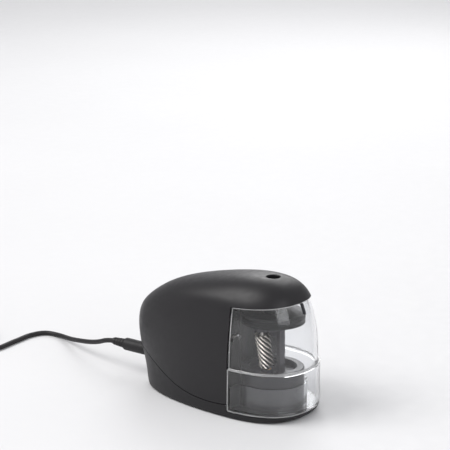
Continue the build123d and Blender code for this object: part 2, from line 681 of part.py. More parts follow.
with BuildPart() as gearbox_cover:
    extrude(gearbox_full.moved(Location((0, 0, PLATE_TOP))), amount=NECK_TOP - PLATE_TOP)
    extrude(gearbox_foot.moved(Location((0, 0, PLATE_TOP))), amount=EAR_HEIGHT)
    post(0, AXIS_Y, PLATE_TOP, COLLAR_TOP, DRUM_R)
    post(0, AXIS_Y, DRUM_TOP, COLLAR_TOP, COLLAR_IN_R, mode=Mode.SUBTRACT)
    post(0, MOTOR_Y, NECK_TOP, COLLAR_TOP, MOTOR_R + GAP, mode=Mode.SUBTRACT)
    extrude(
        gearbox_hollow.moved(Location((0, 0, PLATE_TOP))),
        amount=LOWER_ROOM_TOP - PLATE_TOP,
        mode=Mode.SUBTRACT,
    )
    post(0, IDLER_Y, LOWER_ROOM_TOP, UPPER_ROOM_TOP, IDLER_ROOM_R, mode=Mode.SUBTRACT)
    post(0, MOTOR_Y, LOWER_ROOM_TOP, UPPER_ROOM_TOP, MOTOR_ROOM_R, mode=Mode.SUBTRACT)
    block(-MOTOR_ROOM_R, MOTOR_ROOM_R, IDLER_Y, MOTOR_Y, LOWER_ROOM_TOP, UPPER_ROOM_TOP, mode=Mode.SUBTRACT)
    post(0, AXIS_Y, LOWER_ROOM_TOP, DRUM_TOP, BUSH_R, mode=Mode.SUBTRACT)
    post(0, IDLER_Y, UPPER_ROOM_TOP, NECK_TOP - AXLE_SEAT, IDLER_AXLE_R, mode=Mode.SUBTRACT)
    post(0, MOTOR_Y, UPPER_ROOM_TOP, NECK_TOP, MOTOR_NOSE_R, mode=Mode.SUBTRACT)
    for side in (-1, 1):
        post(side * MOTOR_SCREW_X, MOTOR_Y, UPPER_ROOM_TOP, NECK_TOP, MOTOR_SCREW_R, mode=Mode.SUBTRACT)
    for ear_x, ear_back in EARS:
        post(ear_x, MOTOR_Y + ear_back, PLATE_TOP, PLATE_TOP + EAR_HEIGHT, SCREW_R, mode=Mode.SUBTRACT)
    top_circles = gearbox_cover.edges().filter_by(GeomType.CIRCLE).group_by(Axis.Z)[-1]
    drum_rim = top_circles.sort_by(SortBy.RADIUS)[-1]
    fillet(drum_rim, DRUM_ROUND)
gearbox_cover.part.label = "gearbox_cover"
export_step(gearbox_cover.part, "parts/gearbox_cover.step")

with BuildPart() as gearbox_screws:
    for ear_x, ear_back in EARS:
        post(ear_x, MOTOR_Y + ear_back, FOOT_HEIGHT + 1, PLATE_TOP + EAR_HEIGHT, SCREW_R)
        post(
            ear_x,
            MOTOR_Y + ear_back,
            PLATE_TOP + EAR_HEIGHT,
            PLATE_TOP + EAR_HEIGHT + PLAIN_HEAD,
            SCREW_HEAD_R,
        )
gearbox_screws.part.label = "gearbox_screws"
export_step(gearbox_screws.part, "parts/gearbox_screws.step")

with BuildPart() as carrier_bush:
    post(0, AXIS_Y, LOWER_ROOM_TOP, DRUM_TOP, BUSH_R)
    post(0, AXIS_Y, LOWER_ROOM_TOP, DRUM_TOP, CARRIER_SHAFT_R + RUNNING, mode=Mode.SUBTRACT)
carrier_bush.part.label = "carrier_bush"
export_step(carrier_bush.part, "parts/carrier_bush.step")

with BuildPart() as thrust_washer:
    post(0, AXIS_Y, DRUM_TOP, CARRIER_Z - GAP, 2 * CARRIER_SHAFT_R)
    post(0, AXIS_Y, DRUM_TOP, CARRIER_Z, CARRIER_SHAFT_R + GAP, mode=Mode.SUBTRACT)
thrust_washer.part.label = "thrust_washer"
export_step(thrust_washer.part, "parts/thrust_washer.step")

with BuildPart() as idler_axle:
    post(0, IDLER_Y, DECK_Z + AXLE_SEAT, NECK_TOP - AXLE_SEAT, IDLER_AXLE_R)
idler_axle.part.label = "idler_axle"
export_step(idler_axle.part, "parts/idler_axle.step")

with BuildPart() as carrier_gear:
    with BuildSketch(Plane.XY.offset(LOWER_GEAR_Z)):
        with BuildLine():
            teeth = gear_points(CARRIER_TEETH, GEAR_MODULE, 90.0)
            Polyline(*[(x, y + AXIS_Y) for x, y in teeth], close=True)
        make_face()
    extrude(amount=LOWER_GEAR_HEIGHT)
    post(0, AXIS_Y, LOWER_GEAR_Z, LOWER_GEAR_Z + LOWER_GEAR_HEIGHT, CARRIER_SHAFT_R, mode=Mode.SUBTRACT)
carrier_gear.part.label = "carrier_gear"
export_step(carrier_gear.part, "parts/carrier_gear.step")

with BuildPart() as idler_gear:
    with BuildSketch(Plane.XY.offset(LOWER_GEAR_Z)):
        with BuildLine():
            teeth = gear_points(IDLER_SMALL_TEETH, GEAR_MODULE, -90.0 + 180.0 / IDLER_SMALL_TEETH)
            Polyline(*[(x, y + IDLER_Y) for x, y in teeth], close=True)
        make_face()
    extrude(amount=UPPER_GEAR_Z - LOWER_GEAR_Z)
    with BuildSketch(Plane.XY.offset(UPPER_GEAR_Z)):
        with BuildLine():
            teeth = gear_points(IDLER_LARGE_TEETH, GEAR_MODULE, 90.0)
            Polyline(*[(x, y + IDLER_Y) for x, y in teeth], close=True)
        make_face()
    extrude(amount=UPPER_GEAR_HEIGHT)
    post(0, IDLER_Y, LOWER_GEAR_Z, NECK_TOP, IDLER_AXLE_R + RUNNING, mode=Mode.SUBTRACT)
idler_gear.part.label = "idler_gear"
export_step(idler_gear.part, "parts/idler_gear.step")

with BuildPart() as motor_pinion:
    with BuildSketch(Plane.XY.offset(UPPER_GEAR_Z - PINION_OVERHANG)):
        with BuildLine():
            teeth = gear_points(PINION_TEETH, GEAR_MODULE, -90.0 + 180.0 / PINION_TEETH)
            Polyline(*[(x, y + MOTOR_Y) for x, y in teeth], close=True)
        make_face()
    extrude(amount=UPPER_GEAR_HEIGHT + 2 * PINION_OVERHANG)
    post(0, MOTOR_Y, LOWER_GEAR_Z, NECK_TOP, MOTOR_SHAFT_R, mode=Mode.SUBTRACT)
motor_pinion.part.label = "motor_pinion"
export_step(motor_pinion.part, "parts/motor_pinion.step")

# ================================================================ motor
CAN_TOP = NECK_TOP + MOTOR_LENGTH
CAP_TOP = CAN_TOP + MOTOR_CAP
BUSH_LENGTH = 3.0
BUSH_SET_IN = 0.3
MAGNET_OVERHANG = 1.0  # magnets beyond the rotor at each end
MAGNET_SPLIT = 4.0
SHAFT_END = 0.6
ROTOR_SLOT_R = 2.2
ROTOR_SLOT_AT = 0.8
MOTOR_SCREW_HEAD = 1.4
TERMINAL_HALF = 1.5
TERMINAL_THICK = 0.5
TERMINAL_HEIGHT = 4.0
MAGNET_R = 10.4
COMMUTATOR_R = 3.2
COMMUTATOR_Z = 47.5
COMMUTATOR_LENGTH = 4.5
BRUSH_WIDTH = 3.0
BRUSH_HEIGHT = 2.5
TERMINAL_X = 8.0

with BuildPart() as motor_can:
    post(0, MOTOR_Y, NECK_TOP, CAN_TOP, MOTOR_R)
    post(0, MOTOR_Y, NECK_TOP + MOTOR_WALL, CAN_TOP, MOTOR_R - MOTOR_WALL, mode=Mode.SUBTRACT)
    post(0, MOTOR_Y, NECK_TOP, CAN_TOP, MOTOR_NOSE_R, mode=Mode.SUBTRACT)
    for side in (-1, 1):
        post(
            side * MOTOR_SCREW_X,
            MOTOR_Y,
            NECK_TOP,
            NECK_TOP + MOTOR_WALL,
            MOTOR_SCREW_R,
            mode=Mode.SUBTRACT,
        )
motor_can.part.label = "motor_can"
export_step(motor_can.part, "parts/motor_can.step")

with BuildPart() as motor_magnets:
    post(
        0,
        MOTOR_Y,
        ROTOR_Z - MAGNET_OVERHANG,
        ROTOR_Z + ROTOR_LENGTH + MAGNET_OVERHANG,
        MOTOR_R - MOTOR_WALL,
    )
    post(
        0,
        MOTOR_Y,
        ROTOR_Z - MAGNET_OVERHANG,
        ROTOR_Z + ROTOR_LENGTH + MAGNET_OVERHANG,
        MAGNET_R,
        mode=Mode.SUBTRACT,
    )
    block(-MAGNET_SPLIT, MAGNET_SPLIT, MOTOR_Y - FAR, MOTOR_Y + FAR, 0, CAN_TOP, mode=Mode.SUBTRACT)
motor_magnets.part.label = "motor_magnets"
export_step(motor_magnets.part, "parts/motor_magnets.step")

with BuildPart() as motor_end_cap:
    post(0, MOTOR_Y, CAN_TOP, CAP_TOP, MOTOR_R)
    post(0, MOTOR_Y, CAN_TOP, CAP_TOP, MOTOR_NOSE_R, mode=Mode.SUBTRACT)
motor_end_cap.part.label = "motor_end_cap"
export_step(motor_end_cap.part, "parts/motor_end_cap.step")

with BuildPart() as motor_bearings:
    post(0, MOTOR_Y, UPPER_ROOM_TOP + BUSH_SET_IN, UPPER_ROOM_TOP + BUSH_SET_IN + BUSH_LENGTH, MOTOR_NOSE_R)
    post(0, MOTOR_Y, CAN_TOP, CAP_TOP, MOTOR_NOSE_R)
    post(0, MOTOR_Y, 0, CAP_TOP, MOTOR_SHAFT_R + RUNNING, mode=Mode.SUBTRACT)
motor_bearings.part.label = "motor_bearings"
export_step(motor_bearings.part, "parts/motor_bearings.step")

with BuildPart() as motor_brushes:
    for side in (-1, 1):
        near, far = side * (COMMUTATOR_R + GAP), side * (TERMINAL_X + 1)
        inner, outer = sorted((near, far))
        half = BRUSH_WIDTH / 2
        low = COMMUTATOR_Z + 1
        block(inner, outer, MOTOR_Y - half, MOTOR_Y + half, low, low + BRUSH_HEIGHT)
        inner, outer = sorted((side * (TERMINAL_X - 1), far))
        block(inner, outer, MOTOR_Y - half, MOTOR_Y + half, low, CAN_TOP)
motor_brushes.part.label = "motor_brushes"
export_step(motor_brushes.part, "parts/motor_brushes.step")

with BuildPart() as motor_terminals:
    for side in (-1, 1):
        inner, outer = sorted((side * TERMINAL_X, side * (TERMINAL_X + TERMINAL_THICK)))
        block(
            inner,
            outer,
            MOTOR_Y - TERMINAL_HALF,
            MOTOR_Y + TERMINAL_HALF,
            CAP_TOP,
            CAP_TOP + TERMINAL_HEIGHT,
        )
motor_terminals.part.label = "motor_terminals"
export_step(motor_terminals.part, "parts/motor_terminals.step")

with BuildPart() as motor_screws:
    for side in (-1, 1):
        post(side * MOTOR_SCREW_X, MOTOR_Y, UPPER_ROOM_TOP, NECK_TOP + MOTOR_WALL, MOTOR_SCREW_R)
        post(
            side * MOTOR_SCREW_X,
            MOTOR_Y,
            UPPER_ROOM_TOP - MOTOR_SCREW_HEAD,
            UPPER_ROOM_TOP,
            MOTOR_SCREW_HEAD_R,
        )
motor_screws.part.label = "motor_screws"
export_step(motor_screws.part, "parts/motor_screws.step")

with BuildPart() as motor_bracket:
    with BuildSketch(Plane.XY.offset(BRACKET_Z)):
        with Locations((0, MOTOR_Y)):
            Circle(MOTOR_R + BRACKET_RIM)
            Rectangle(2 * (BRACKET_POST_X + BRACKET_POST_R), 2 * BRACKET_POST_R + 1)
            Circle(MOTOR_R + BULKHEAD_GAP, mode=Mode.SUBTRACT)
        with Locations((BRACKET_POST_X, MOTOR_Y), (-BRACKET_POST_X, MOTOR_Y)):
            Circle(SCREW_R, mode=Mode.SUBTRACT)
    extrude(amount=BRACKET_THICK)
motor_bracket.part.label = "motor_bracket"
export_step(motor_bracket.part, "parts/motor_bracket.step")

with BuildPart() as bracket_screws:
    for side in (-1, 1):
        post(
            side * BRACKET_POST_X,
            MOTOR_Y,
            BRACKET_Z - BRACKET_SCREW_BITE,
            BRACKET_Z + BRACKET_THICK,
            SCREW_R,
        )
        post(
            side * BRACKET_POST_X,
            MOTOR_Y,
            BRACKET_Z + BRACKET_THICK,
            BRACKET_Z + BRACKET_THICK + PLAIN_HEAD,
            SCREW_HEAD_R,
        )
bracket_screws.part.label = "bracket_screws"
export_step(bracket_screws.part, "parts/bracket_screws.step")

with BuildPart() as motor_shaft:
    post(0, MOTOR_Y, UPPER_GEAR_Z - PINION_OVERHANG, CAP_TOP + SHAFT_END, MOTOR_SHAFT_R)
motor_shaft.part.label = "motor_shaft"
export_step(motor_shaft.part, "parts/motor_shaft.step")

with BuildPart() as motor_rotor:
    post(0, MOTOR_Y, ROTOR_Z, ROTOR_Z + ROTOR_LENGTH, ROTOR_R)
    for turn in (30.0, 150.0, 270.0):
        slot_x, slot_y = math.cos(math.radians(turn)), math.sin(math.radians(turn))
        slot_at = ROTOR_SLOT_AT * ROTOR_R
        post(slot_x * slot_at, MOTOR_Y + slot_y * slot_at, 0, CAP_TOP, ROTOR_SLOT_R, mode=Mode.SUBTRACT)
    post(0, MOTOR_Y, 0, CAP_TOP, MOTOR_SHAFT_R, mode=Mode.SUBTRACT)
motor_rotor.part.label = "motor_rotor"
export_step(motor_rotor.part, "parts/motor_rotor.step")

with BuildPart() as commutator:
    post(0, MOTOR_Y, COMMUTATOR_Z, COMMUTATOR_Z + COMMUTATOR_LENGTH, COMMUTATOR_R)
    post(0, MOTOR_Y, 0, CAP_TOP, MOTOR_SHAFT_R, mode=Mode.SUBTRACT)
commutator.part.label = "commutator"
export_step(commutator.part, "parts/commutator.step")

# ================================================================ start lever and switches
SWITCH_FRONT = 14.6
SWITCH_DEPTH = 4.6
SWITCH_HALF = 5.0
SWITCH_HEIGHT = 6.2
PLUNGER_HALF = 2.4
PLUNGER_HEIGHT = 2.8

with BuildPart() as start_lever:
    lever_front = AXIS_Y + LEVER_BACK - LEVER_THICK / 2
    lever_rear = AXIS_Y + LEVER_BACK + LEVER_THICK / 2
    block(-LEVER_HALF, LEVER_HALF, lever_front, lever_rear, FINGER_Z, LEVER_Z + 1.6)
    tip_y = AXIS_Y + FINGER_REACH
    block(-LEVER_HALF / 2, LEVER_HALF / 2, tip_y, lever_front, FINGER_Z, FINGER_Z + FINGER_HEIGHT)
    rod_along_x(
        -LEVER_HALF,
        LEVER_HALF,
        AXIS_Y + LEVER_BACK,
        LEVER_Z,
        LEVER_PIN_R + RUNNING,
        mode=Mode.SUBTRACT,
    )
    finger_edges = start_lever.edges().filter_by(Axis.X).group_by(Axis.Y)[0]
    fillet(finger_edges, 0.9)
start_lever.part.label = "start_lever"
export_step(start_lever.part, "parts/start_lever.step")

with BuildPart() as start_lever_pin:
    rod_along_x(-EAR_OUT, EAR_OUT, AXIS_Y + LEVER_BACK, LEVER_Z, LEVER_PIN_R)
start_lever_pin.part.label = "start_lever_pin"
export_step(start_lever_pin.part, "parts/start_lever_pin.step")

with BuildPart() as start_switch:
    block(
        -SWITCH_HALF,
        SWITCH_HALF,
        AXIS_Y + SWITCH_FRONT,
        AXIS_Y + SWITCH_FRONT + SWITCH_DEPTH,
        HEAD_TOP,
        HEAD_TOP + SWITCH_HEIGHT,
    )
    rod_along_y(0, AXIS_Y + SWITCH_FRONT - 0.6, AXIS_Y + SWITCH_FRONT, HEAD_TOP + SWITCH_HEIGHT / 2, 1.2)
start_switch.part.label = "start_switch"
export_step(start_switch.part, "parts/start_switch.step")

with BuildPart() as interlock_switch:
    block(
        SLOT_X - SLOT_WIDTH / 2 + 0.3,
        SLOT_X + SLOT_WIDTH / 2 - 0.3,
        SEAM_Y + BULKHEAD + GAP,
        SEAM_Y + BULKHEAD + 6,
        SLOT_Z - SLOT_HEIGHT / 2 - 1,
        SLOT_Z + SLOT_HEIGHT / 2 + 1,
    )
interlock_switch.part.label = "interlock_switch"
export_step(interlock_switch.part, "parts/interlock_switch.step")

with BuildPart() as interlock_plunger:
    block(
        SLOT_X - PLUNGER_HALF,
        SLOT_X + PLUNGER_HALF,
        SEAM_Y + GAP,
        SEAM_Y + BULKHEAD,
        SLOT_Z - PLUNGER_HEIGHT / 2,
        SLOT_Z + PLUNGER_HEIGHT / 2,
    )
interlock_plunger.part.label = "interlock_plunger"
export_step(interlock_plunger.part, "parts/interlock_plunger.step")

# ================================================================ circuit board and power socket
JACK_HALF = 4.5
JACK_HEIGHT = 11.0
JACK_LENGTH = 14.5
JACK_BORE_R = 3.1
BARREL_R = 2.75
BARREL_LENGTH = 9.0
CONTACT_R = 1.0
CONTACT_SET_IN = 1.5
BARREL_BORE_R = 1.2
CAPACITOR_X = -5.5
CAPACITOR_BACK = 6.0
CAPACITOR_R = 4.0
CAPACITOR_HEIGHT = 11.0
JACK_END = 0.6  # jack's bore beyond the plug barrel's tip

with BuildPart() as circuit_board:
    block(
        -BOARD_HALF, BOARD_HALF, SEAM_Y + BOARD_FRONT, SEAM_Y + BOARD_REAR, BOARD_Z, BOARD_Z + BOARD_THICK
    )
circuit_board.part.label = "circuit_board"
export_step(circuit_board.part, "parts/circuit_board.step")

with BuildPart() as dc_jack:
    jack_rear = SEAM_Y + JACK_FACE
    block(
        -JACK_HALF,
        JACK_HALF,
        jack_rear - JACK_LENGTH,
        jack_rear,
        BOARD_Z + BOARD_THICK,
        JACK_Z + JACK_HEIGHT / 2,
    )
    add(bulkhead_room, mode=Mode.INTERSECT)
    rod_along_y(0, jack_rear - BARREL_LENGTH - JACK_END, jack_rear, JACK_Z, JACK_BORE_R, mode=Mode.SUBTRACT)
dc_jack.part.label = "dc_jack"
export_step(dc_jack.part, "parts/dc_jack.step")

with BuildPart() as jack_contact:
    rod_along_y(0, jack_rear - BARREL_LENGTH - JACK_END, jack_rear - CONTACT_SET_IN, JACK_Z, CONTACT_R)
jack_contact.part.label = "jack_contact"
export_step(jack_contact.part, "parts/jack_contact.step")

with BuildPart() as capacitor:
    post(
        CAPACITOR_X,
        SEAM_Y + BOARD_FRONT + CAPACITOR_BACK,
        BOARD_Z + BOARD_THICK,
        BOARD_Z + BOARD_THICK + CAPACITOR_HEIGHT,
        CAPACITOR_R,
    )
capacitor.part.label = "capacitor"
export_step(capacitor.part, "parts/capacitor.step")

# ================================================================ shavings bin
CATCH_HEIGHT = 2.5
PULL_AT = 0.8  # the nib's top follows the hood's edge this far along it
WELL_R = DRUM_R + 2 * GAP
WELL_TOP = DECK_Z + GAP + BIN_WELL_HEIGHT
LUG_HALF = 3.0
LUG_THICK = 2.0
LUG_DEPTH = 2.4
CATCH_X = 22.6
CATCH_LENGTH = 5.0

bin_room = front_zone(GAP)
bin_step_form = body_form(BIN_STEP)
bin_low_inner = body_form(BIN_WALL)
bin_high_inner = body_form(BIN_STEP + BIN_WALL)
ring_shelf_z = BIN_RING_Z - BIN_WALL

with BuildPart() as bin_high:
    add(bin_step_form)
    block(-FAR, FAR, -FAR, FAR, -FAR, BIN_RING_Z, mode=Mode.SUBTRACT)

with BuildPart() as bin_outer:
    add(outer_form)
    block(-FAR, FAR, -FAR, FAR, BIN_RING_Z, FAR, mode=Mode.SUBTRACT)
    add(bin_high.part)
    add(bin_room, mode=Mode.INTERSECT)

with BuildPart() as bin_hollow_low:
    add(bin_low_inner)
    block(-FAR, FAR, -FAR, FAR, -FAR, DECK_Z + GAP + BIN_FLOOR, mode=Mode.SUBTRACT)
    block(-FAR, FAR, -FAR, FAR, ring_shelf_z, FAR, mode=Mode.SUBTRACT)

with BuildPart() as bin_hollow:
    add(bin_high_inner)
    block(-FAR, FAR, -FAR, FAR, -FAR, ring_shelf_z, mode=Mode.SUBTRACT)
    add(bin_hollow_low.part)

with BuildPart() as bin_well:
    post(0, AXIS_Y, DECK_Z + GAP, WELL_TOP, WELL_R + BIN_WELL_WALL)
    well_half = WELL_R + BIN_WELL_WALL
    block(-well_half, well_half, AXIS_Y, SEAM_Y - GAP, DECK_Z + GAP, WELL_TOP)
    block(-HALF_WIDTH, HALF_WIDTH, SEAM_Y - GAP - BIN_WALL, SEAM_Y - GAP, DECK_Z + GAP, WELL_TOP)
    add(bin_outer.part, mode=Mode.INTERSECT)

with BuildPart() as bin_lugs:
    lug_y = SEAM_Y - GAP - LUG_DEPTH
    block(-HALF_WIDTH, SLOT_X + LUG_HALF, lug_y, SEAM_Y - GAP, SLOT_Z - LUG_THICK / 2, SLOT_Z + LUG_THICK / 2)
    for side in (-1, 1):
        inner, outer = sorted((side * CATCH_X, side * HALF_WIDTH))
        block(
            inner,
            outer,
            SEAM_Y - GAP - CATCH_LENGTH,
            SEAM_Y - GAP,
            HOOD_EDGE_Z - CATCH_HEIGHT,
            HOOD_EDGE_Z,
        )
    add(bin_outer.part, mode=Mode.INTERSECT)

with BuildPart() as shavings_bin:
    add(bin_outer.part)
    add(bin_hollow.part, mode=Mode.SUBTRACT)
    add(bin_well.part)
    add(bin_lugs.part)
    post(0, AXIS_Y, 0, WELL_TOP, WELL_R, mode=Mode.SUBTRACT)
    block(-WELL_R, WELL_R, AXIS_Y, SEAM_Y + 1, 0, WELL_TOP, mode=Mode.SUBTRACT)
shavings_bin.part.label = "shavings_bin"
export_step(shavings_bin.part, "parts/shavings_bin.step")

PULL_TOP = HOOD_EDGE_Z + HOOD_EDGE_RISE * PULL_AT - 2 * GAP
with BuildPart() as bin_pull:
    block(
        -PULL_WIDTH / 2,
        PULL_WIDTH / 2,
        SEAM_Y - FRONT_REACH,
        SEAM_Y - FRONT_REACH / 2,
        PULL_TOP - PULL_HEIGHT,
        PULL_TOP,
    )
    add(outer_form, mode=Mode.INTERSECT)
    add(bin_step_form, mode=Mode.SUBTRACT)
bin_pull.part.label = "bin_pull"
export_step(bin_pull.part, "parts/bin_pull.step")

# ================================================================ lead
PLUG_END = JACK_FACE + PLUG_LENGTH
RELIEF_END = PLUG_END + RELIEF_LENGTH
RELIEF_RIBS = 4
RELIEF_ROOT_R = 2.9
RELIEF_TIP_R = 2.2
RIB_R = 3.1
RIB_TAPER = 0.18  # each rib is this much smaller than the last
RIB_START = 0.3
PLUG_ROUND = 1.2
COIL_X = -24.0
COIL_Z = 0.1
COIL_ROUND = 2.4
TIE_HALF = 2.5
TIE_THICK = 0.8
TIE_ROUND = 2.8
COIL_BACK = 245.0
ADAPTER_X = 5.0
ADAPTER_BACK = 290.0
ADAPTER_WIDTH = 36.0
ADAPTER_LENGTH = 48.0
ADAPTER_HEIGHT = 26.0
ADAPTER_CORNER = 5.0
ADAPTER_EXIT_Z = 3.4
ADAPTER_RELIEF_LENGTH = 8.0
ADAPTER_RELIEF_R = 3.2
ADAPTER_ROUND = 2.0
ADAPTER_SEAM = 0.3
PIN_ROUND = 1.5
PIN_R = 2.0
PIN_LENGTH = 19.0
PIN_SPACING = 19.0

# The lead's route on the table, across and behind the seam, with its height.
CORD_ROUTE = [
    (0.0, RELIEF_END, JACK_Z),
    (0.4, 122.5, 17.8),
    (2.6, 131.0, 14.0),
    (6.2, 142.5, 10.6),
    (10.6, 155.0, 7.8),
    (18.4, 171.5, 3.8),
    (25.0, 186.0, CORD_ON_TABLE),
    (24.0, 199.0, CORD_ON_TABLE),
    (12.4, 203.4, CORD_ON_TABLE),
    (1.5, 202.4, CORD_ON_TABLE),
    (-8.1, 202.2, CORD_ON_TABLE),
    (-20.0, 200.9, CORD_ON_TABLE),
    (-33.0, 203.2, CORD_ON_TABLE),
    (-41.6, 211.4, CORD_ON_TABLE),
    (-44.8, 222.0, CORD_ON_TABLE),
    (-44.6, 232.6, CORD_ON_TABLE),
]
TAIL_ROUTE = [
    (-17.4, 267.9, 8.1),
    (-10.6, 269.4, 8.0),
    (-4.0, 271.4, 5.6),
    (1.4, 275.4, 3.4),
    (ADAPTER_X, 283.0, 2.4),
    (ADAPTER_X, ADAPTER_BACK, ADAPTER_EXIT_Z),
]


def lead(route, name):
    """A round lead along straight runs joined by the largest arcs that the runs allow."""
    points = [Vector(x, SEAM_Y + back, z) for x, back, z in route]
    radii = []
    for before, corner, after in zip(points, points[1:], points[2:]):
        turn = math.radians((corner - before).get_angle(after - corner))
        run = min((corner - before).length, (after - corner).length)
        radii.append(0.45 * run / math.tan(turn / 2))
    with BuildPart() as tube:
        with BuildLine():
            path = FilletPolyline(*points, radius=radii)
        with BuildSketch(Plane(origin=path @ 0, z_dir=path % 0)):
            Circle(CORD_R)
        sweep()
    print(name, "length", round(path.length, 1), "radii", [round(radius, 1) for radius in radii])
    print(name, "volume over section times length", tube.part.volume / (math.pi * CORD_R**2 * path.length))
    return tube.part


with BuildPart() as plug_body:
    rod_along_y(0, SEAM_Y + JACK_FACE, SEAM_Y + PLUG_END, JACK_Z, PLUG_R)
    fillet(plug_body.edges().filter_by(GeomType.CIRCLE).group_by(Axis.Y)[-1], PLUG_ROUND)
plug_body.part.label = "plug_body"
export_step(plug_body.part, "parts/plug_body.step")

with BuildPart() as plug_relief:
    with Locations(Location((0, SEAM_Y + PLUG_END, JACK_Z), (-90, 0, 0))):
        Cone(RELIEF_ROOT_R, RELIEF_TIP_R, RELIEF_LENGTH, align=STANDING)
    pitch = RELIEF_LENGTH / (RELIEF_RIBS + RIB_START)
    for rib in range(RELIEF_RIBS):
        rib_y = SEAM_Y + PLUG_END + pitch * (rib + RIB_START)
        rod_along_y(0, rib_y, rib_y + pitch / 2, JACK_Z, RIB_R - RIB_TAPER * rib)
plug_relief.part.label = "plug_relief"
export_step(plug_relief.part, "parts/plug_relief.step")

with BuildPart() as plug_barrel:
    rod_along_y(0, SEAM_Y + JACK_FACE - BARREL_LENGTH, SEAM_Y + JACK_FACE, JACK_Z, BARREL_R)
    rod_along_y(
        0,
        SEAM_Y + JACK_FACE - BARREL_LENGTH,
        SEAM_Y + JACK_FACE,
        JACK_Z,
        BARREL_BORE_R,
        mode=Mode.SUBTRACT,
    )
plug_barrel.part.label = "plug_barrel"
export_step(plug_barrel.part, "parts/plug_barrel.step")

power_cord = lead(CORD_ROUTE, "power_cord")
power_cord.label = "power_cord"
export_step(power_cord, "parts/power_cord.step")

cord_tail = lead(TAIL_ROUTE, "cord_tail")
cord_tail.label = "cord_tail"
export_step(cord_tail, "parts/cord_tail.step")

coil_centre = (COIL_X, SEAM_Y + COIL_BACK)
with BuildPart() as cord_coil:
    post(*coil_centre, COIL_Z, COIL_Z + COIL_HEIGHT, COIL_MIDDLE_R + COIL_HALF_THICK)
    post(*coil_centre, COIL_Z, COIL_Z + COIL_HEIGHT, COIL_MIDDLE_R - COIL_HALF_THICK, mode=Mode.SUBTRACT)
    fillet(cord_coil.edges(), COIL_ROUND)
cord_coil.part.label = "cord_coil"
export_step(cord_coil.part, "parts/cord_coil.step")

with BuildPart() as coil_tie:
    tie_in = COIL_MIDDLE_R - COIL_HALF_THICK
    tie_out = COIL_MIDDLE_R + COIL_HALF_THICK
    block(
        COIL_X + tie_in - TIE_THICK,
        COIL_X + tie_out + TIE_THICK,
        coil_centre[1] - TIE_HALF,
        coil_centre[1] + TIE_HALF,
        0,
        COIL_Z + COIL_HEIGHT + TIE_THICK,
    )
    fillet(coil_tie.edges().filter_by(Axis.Y), TIE_ROUND)
    add(cord_coil.part, mode=Mode.SUBTRACT)
coil_tie.part.label = "coil_tie"
export_step(coil_tie.part, "parts/coil_tie.step")

# ================================================================ wall adapter
adapter_front = SEAM_Y + ADAPTER_BACK + ADAPTER_RELIEF_LENGTH
adapter_middle = adapter_front + ADAPTER_LENGTH / 2
with BuildPart() as adapter_block:
    with Locations((ADAPTER_X, adapter_middle, 0)):
        Box(ADAPTER_WIDTH, ADAPTER_LENGTH, ADAPTER_HEIGHT, align=STANDING)
    fillet(adapter_block.edges().filter_by(Axis.Z), ADAPTER_CORNER)
    fillet(adapter_block.faces().sort_by(Axis.Z)[-1].edges(), ADAPTER_ROUND)

with BuildPart() as adapter_back:
    add(adapter_block.part)
    block(-FAR, FAR, -FAR, 2 * FAR, ADAPTER_HEIGHT / 2, FAR, mode=Mode.SUBTRACT)
adapter_back.part.label = "adapter_back"
export_step(adapter_back.part, "parts/adapter_back.step")

with BuildPart() as adapter_face:
    add(adapter_block.part)
    block(-FAR, FAR, -FAR, 2 * FAR, -FAR, ADAPTER_HEIGHT / 2 + ADAPTER_SEAM, mode=Mode.SUBTRACT)
adapter_face.part.label = "adapter_face"
export_step(adapter_face.part, "parts/adapter_face.step")

with BuildPart() as adapter_pins:
    for side in (-1, 1):
        post(
            ADAPTER_X + side * PIN_SPACING / 2,
            adapter_middle + ADAPTER_LENGTH / 5,
            ADAPTER_HEIGHT,
            ADAPTER_HEIGHT + PIN_LENGTH,
            PIN_R,
        )
    fillet(adapter_pins.edges().group_by(Axis.Z)[-1], PIN_ROUND)
adapter_pins.part.label = "adapter_pins"
export_step(adapter_pins.part, "parts/adapter_pins.step")

with BuildPart() as adapter_relief:
    rod_along_y(ADAPTER_X, SEAM_Y + ADAPTER_BACK, adapter_front, ADAPTER_EXIT_Z, ADAPTER_RELIEF_R)
adapter_relief.part.label = "adapter_relief"
export_step(adapter_relief.part, "parts/adapter_relief.step")
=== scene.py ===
"""Desktop electric pencil sharpener: finishes, cutter, bin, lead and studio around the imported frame."""

import json
import logging
import math
from dataclasses import dataclass, field
from enum import Enum

import bmesh
import bpy
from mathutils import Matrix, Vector


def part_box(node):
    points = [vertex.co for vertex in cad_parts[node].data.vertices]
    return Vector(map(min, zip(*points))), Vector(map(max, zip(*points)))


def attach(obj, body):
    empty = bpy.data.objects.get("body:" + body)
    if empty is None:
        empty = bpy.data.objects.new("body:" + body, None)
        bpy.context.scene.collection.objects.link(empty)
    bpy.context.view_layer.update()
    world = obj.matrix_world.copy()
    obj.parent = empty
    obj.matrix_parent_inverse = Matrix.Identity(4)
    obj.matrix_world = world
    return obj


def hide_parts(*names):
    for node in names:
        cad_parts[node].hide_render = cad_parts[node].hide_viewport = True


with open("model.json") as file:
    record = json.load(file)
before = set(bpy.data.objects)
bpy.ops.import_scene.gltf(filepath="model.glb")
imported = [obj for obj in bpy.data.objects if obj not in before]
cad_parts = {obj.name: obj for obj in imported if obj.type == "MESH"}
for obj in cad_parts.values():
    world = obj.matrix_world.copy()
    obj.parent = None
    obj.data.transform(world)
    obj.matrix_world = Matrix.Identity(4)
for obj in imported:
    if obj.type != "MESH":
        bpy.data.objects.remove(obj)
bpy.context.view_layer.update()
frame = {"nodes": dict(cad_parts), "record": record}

log = logging.getLogger("sharpener")

Colour = tuple[float, float, float]
Point = tuple[float, float, float]
Socket = bpy.types.NodeSocket

MM = 0.001


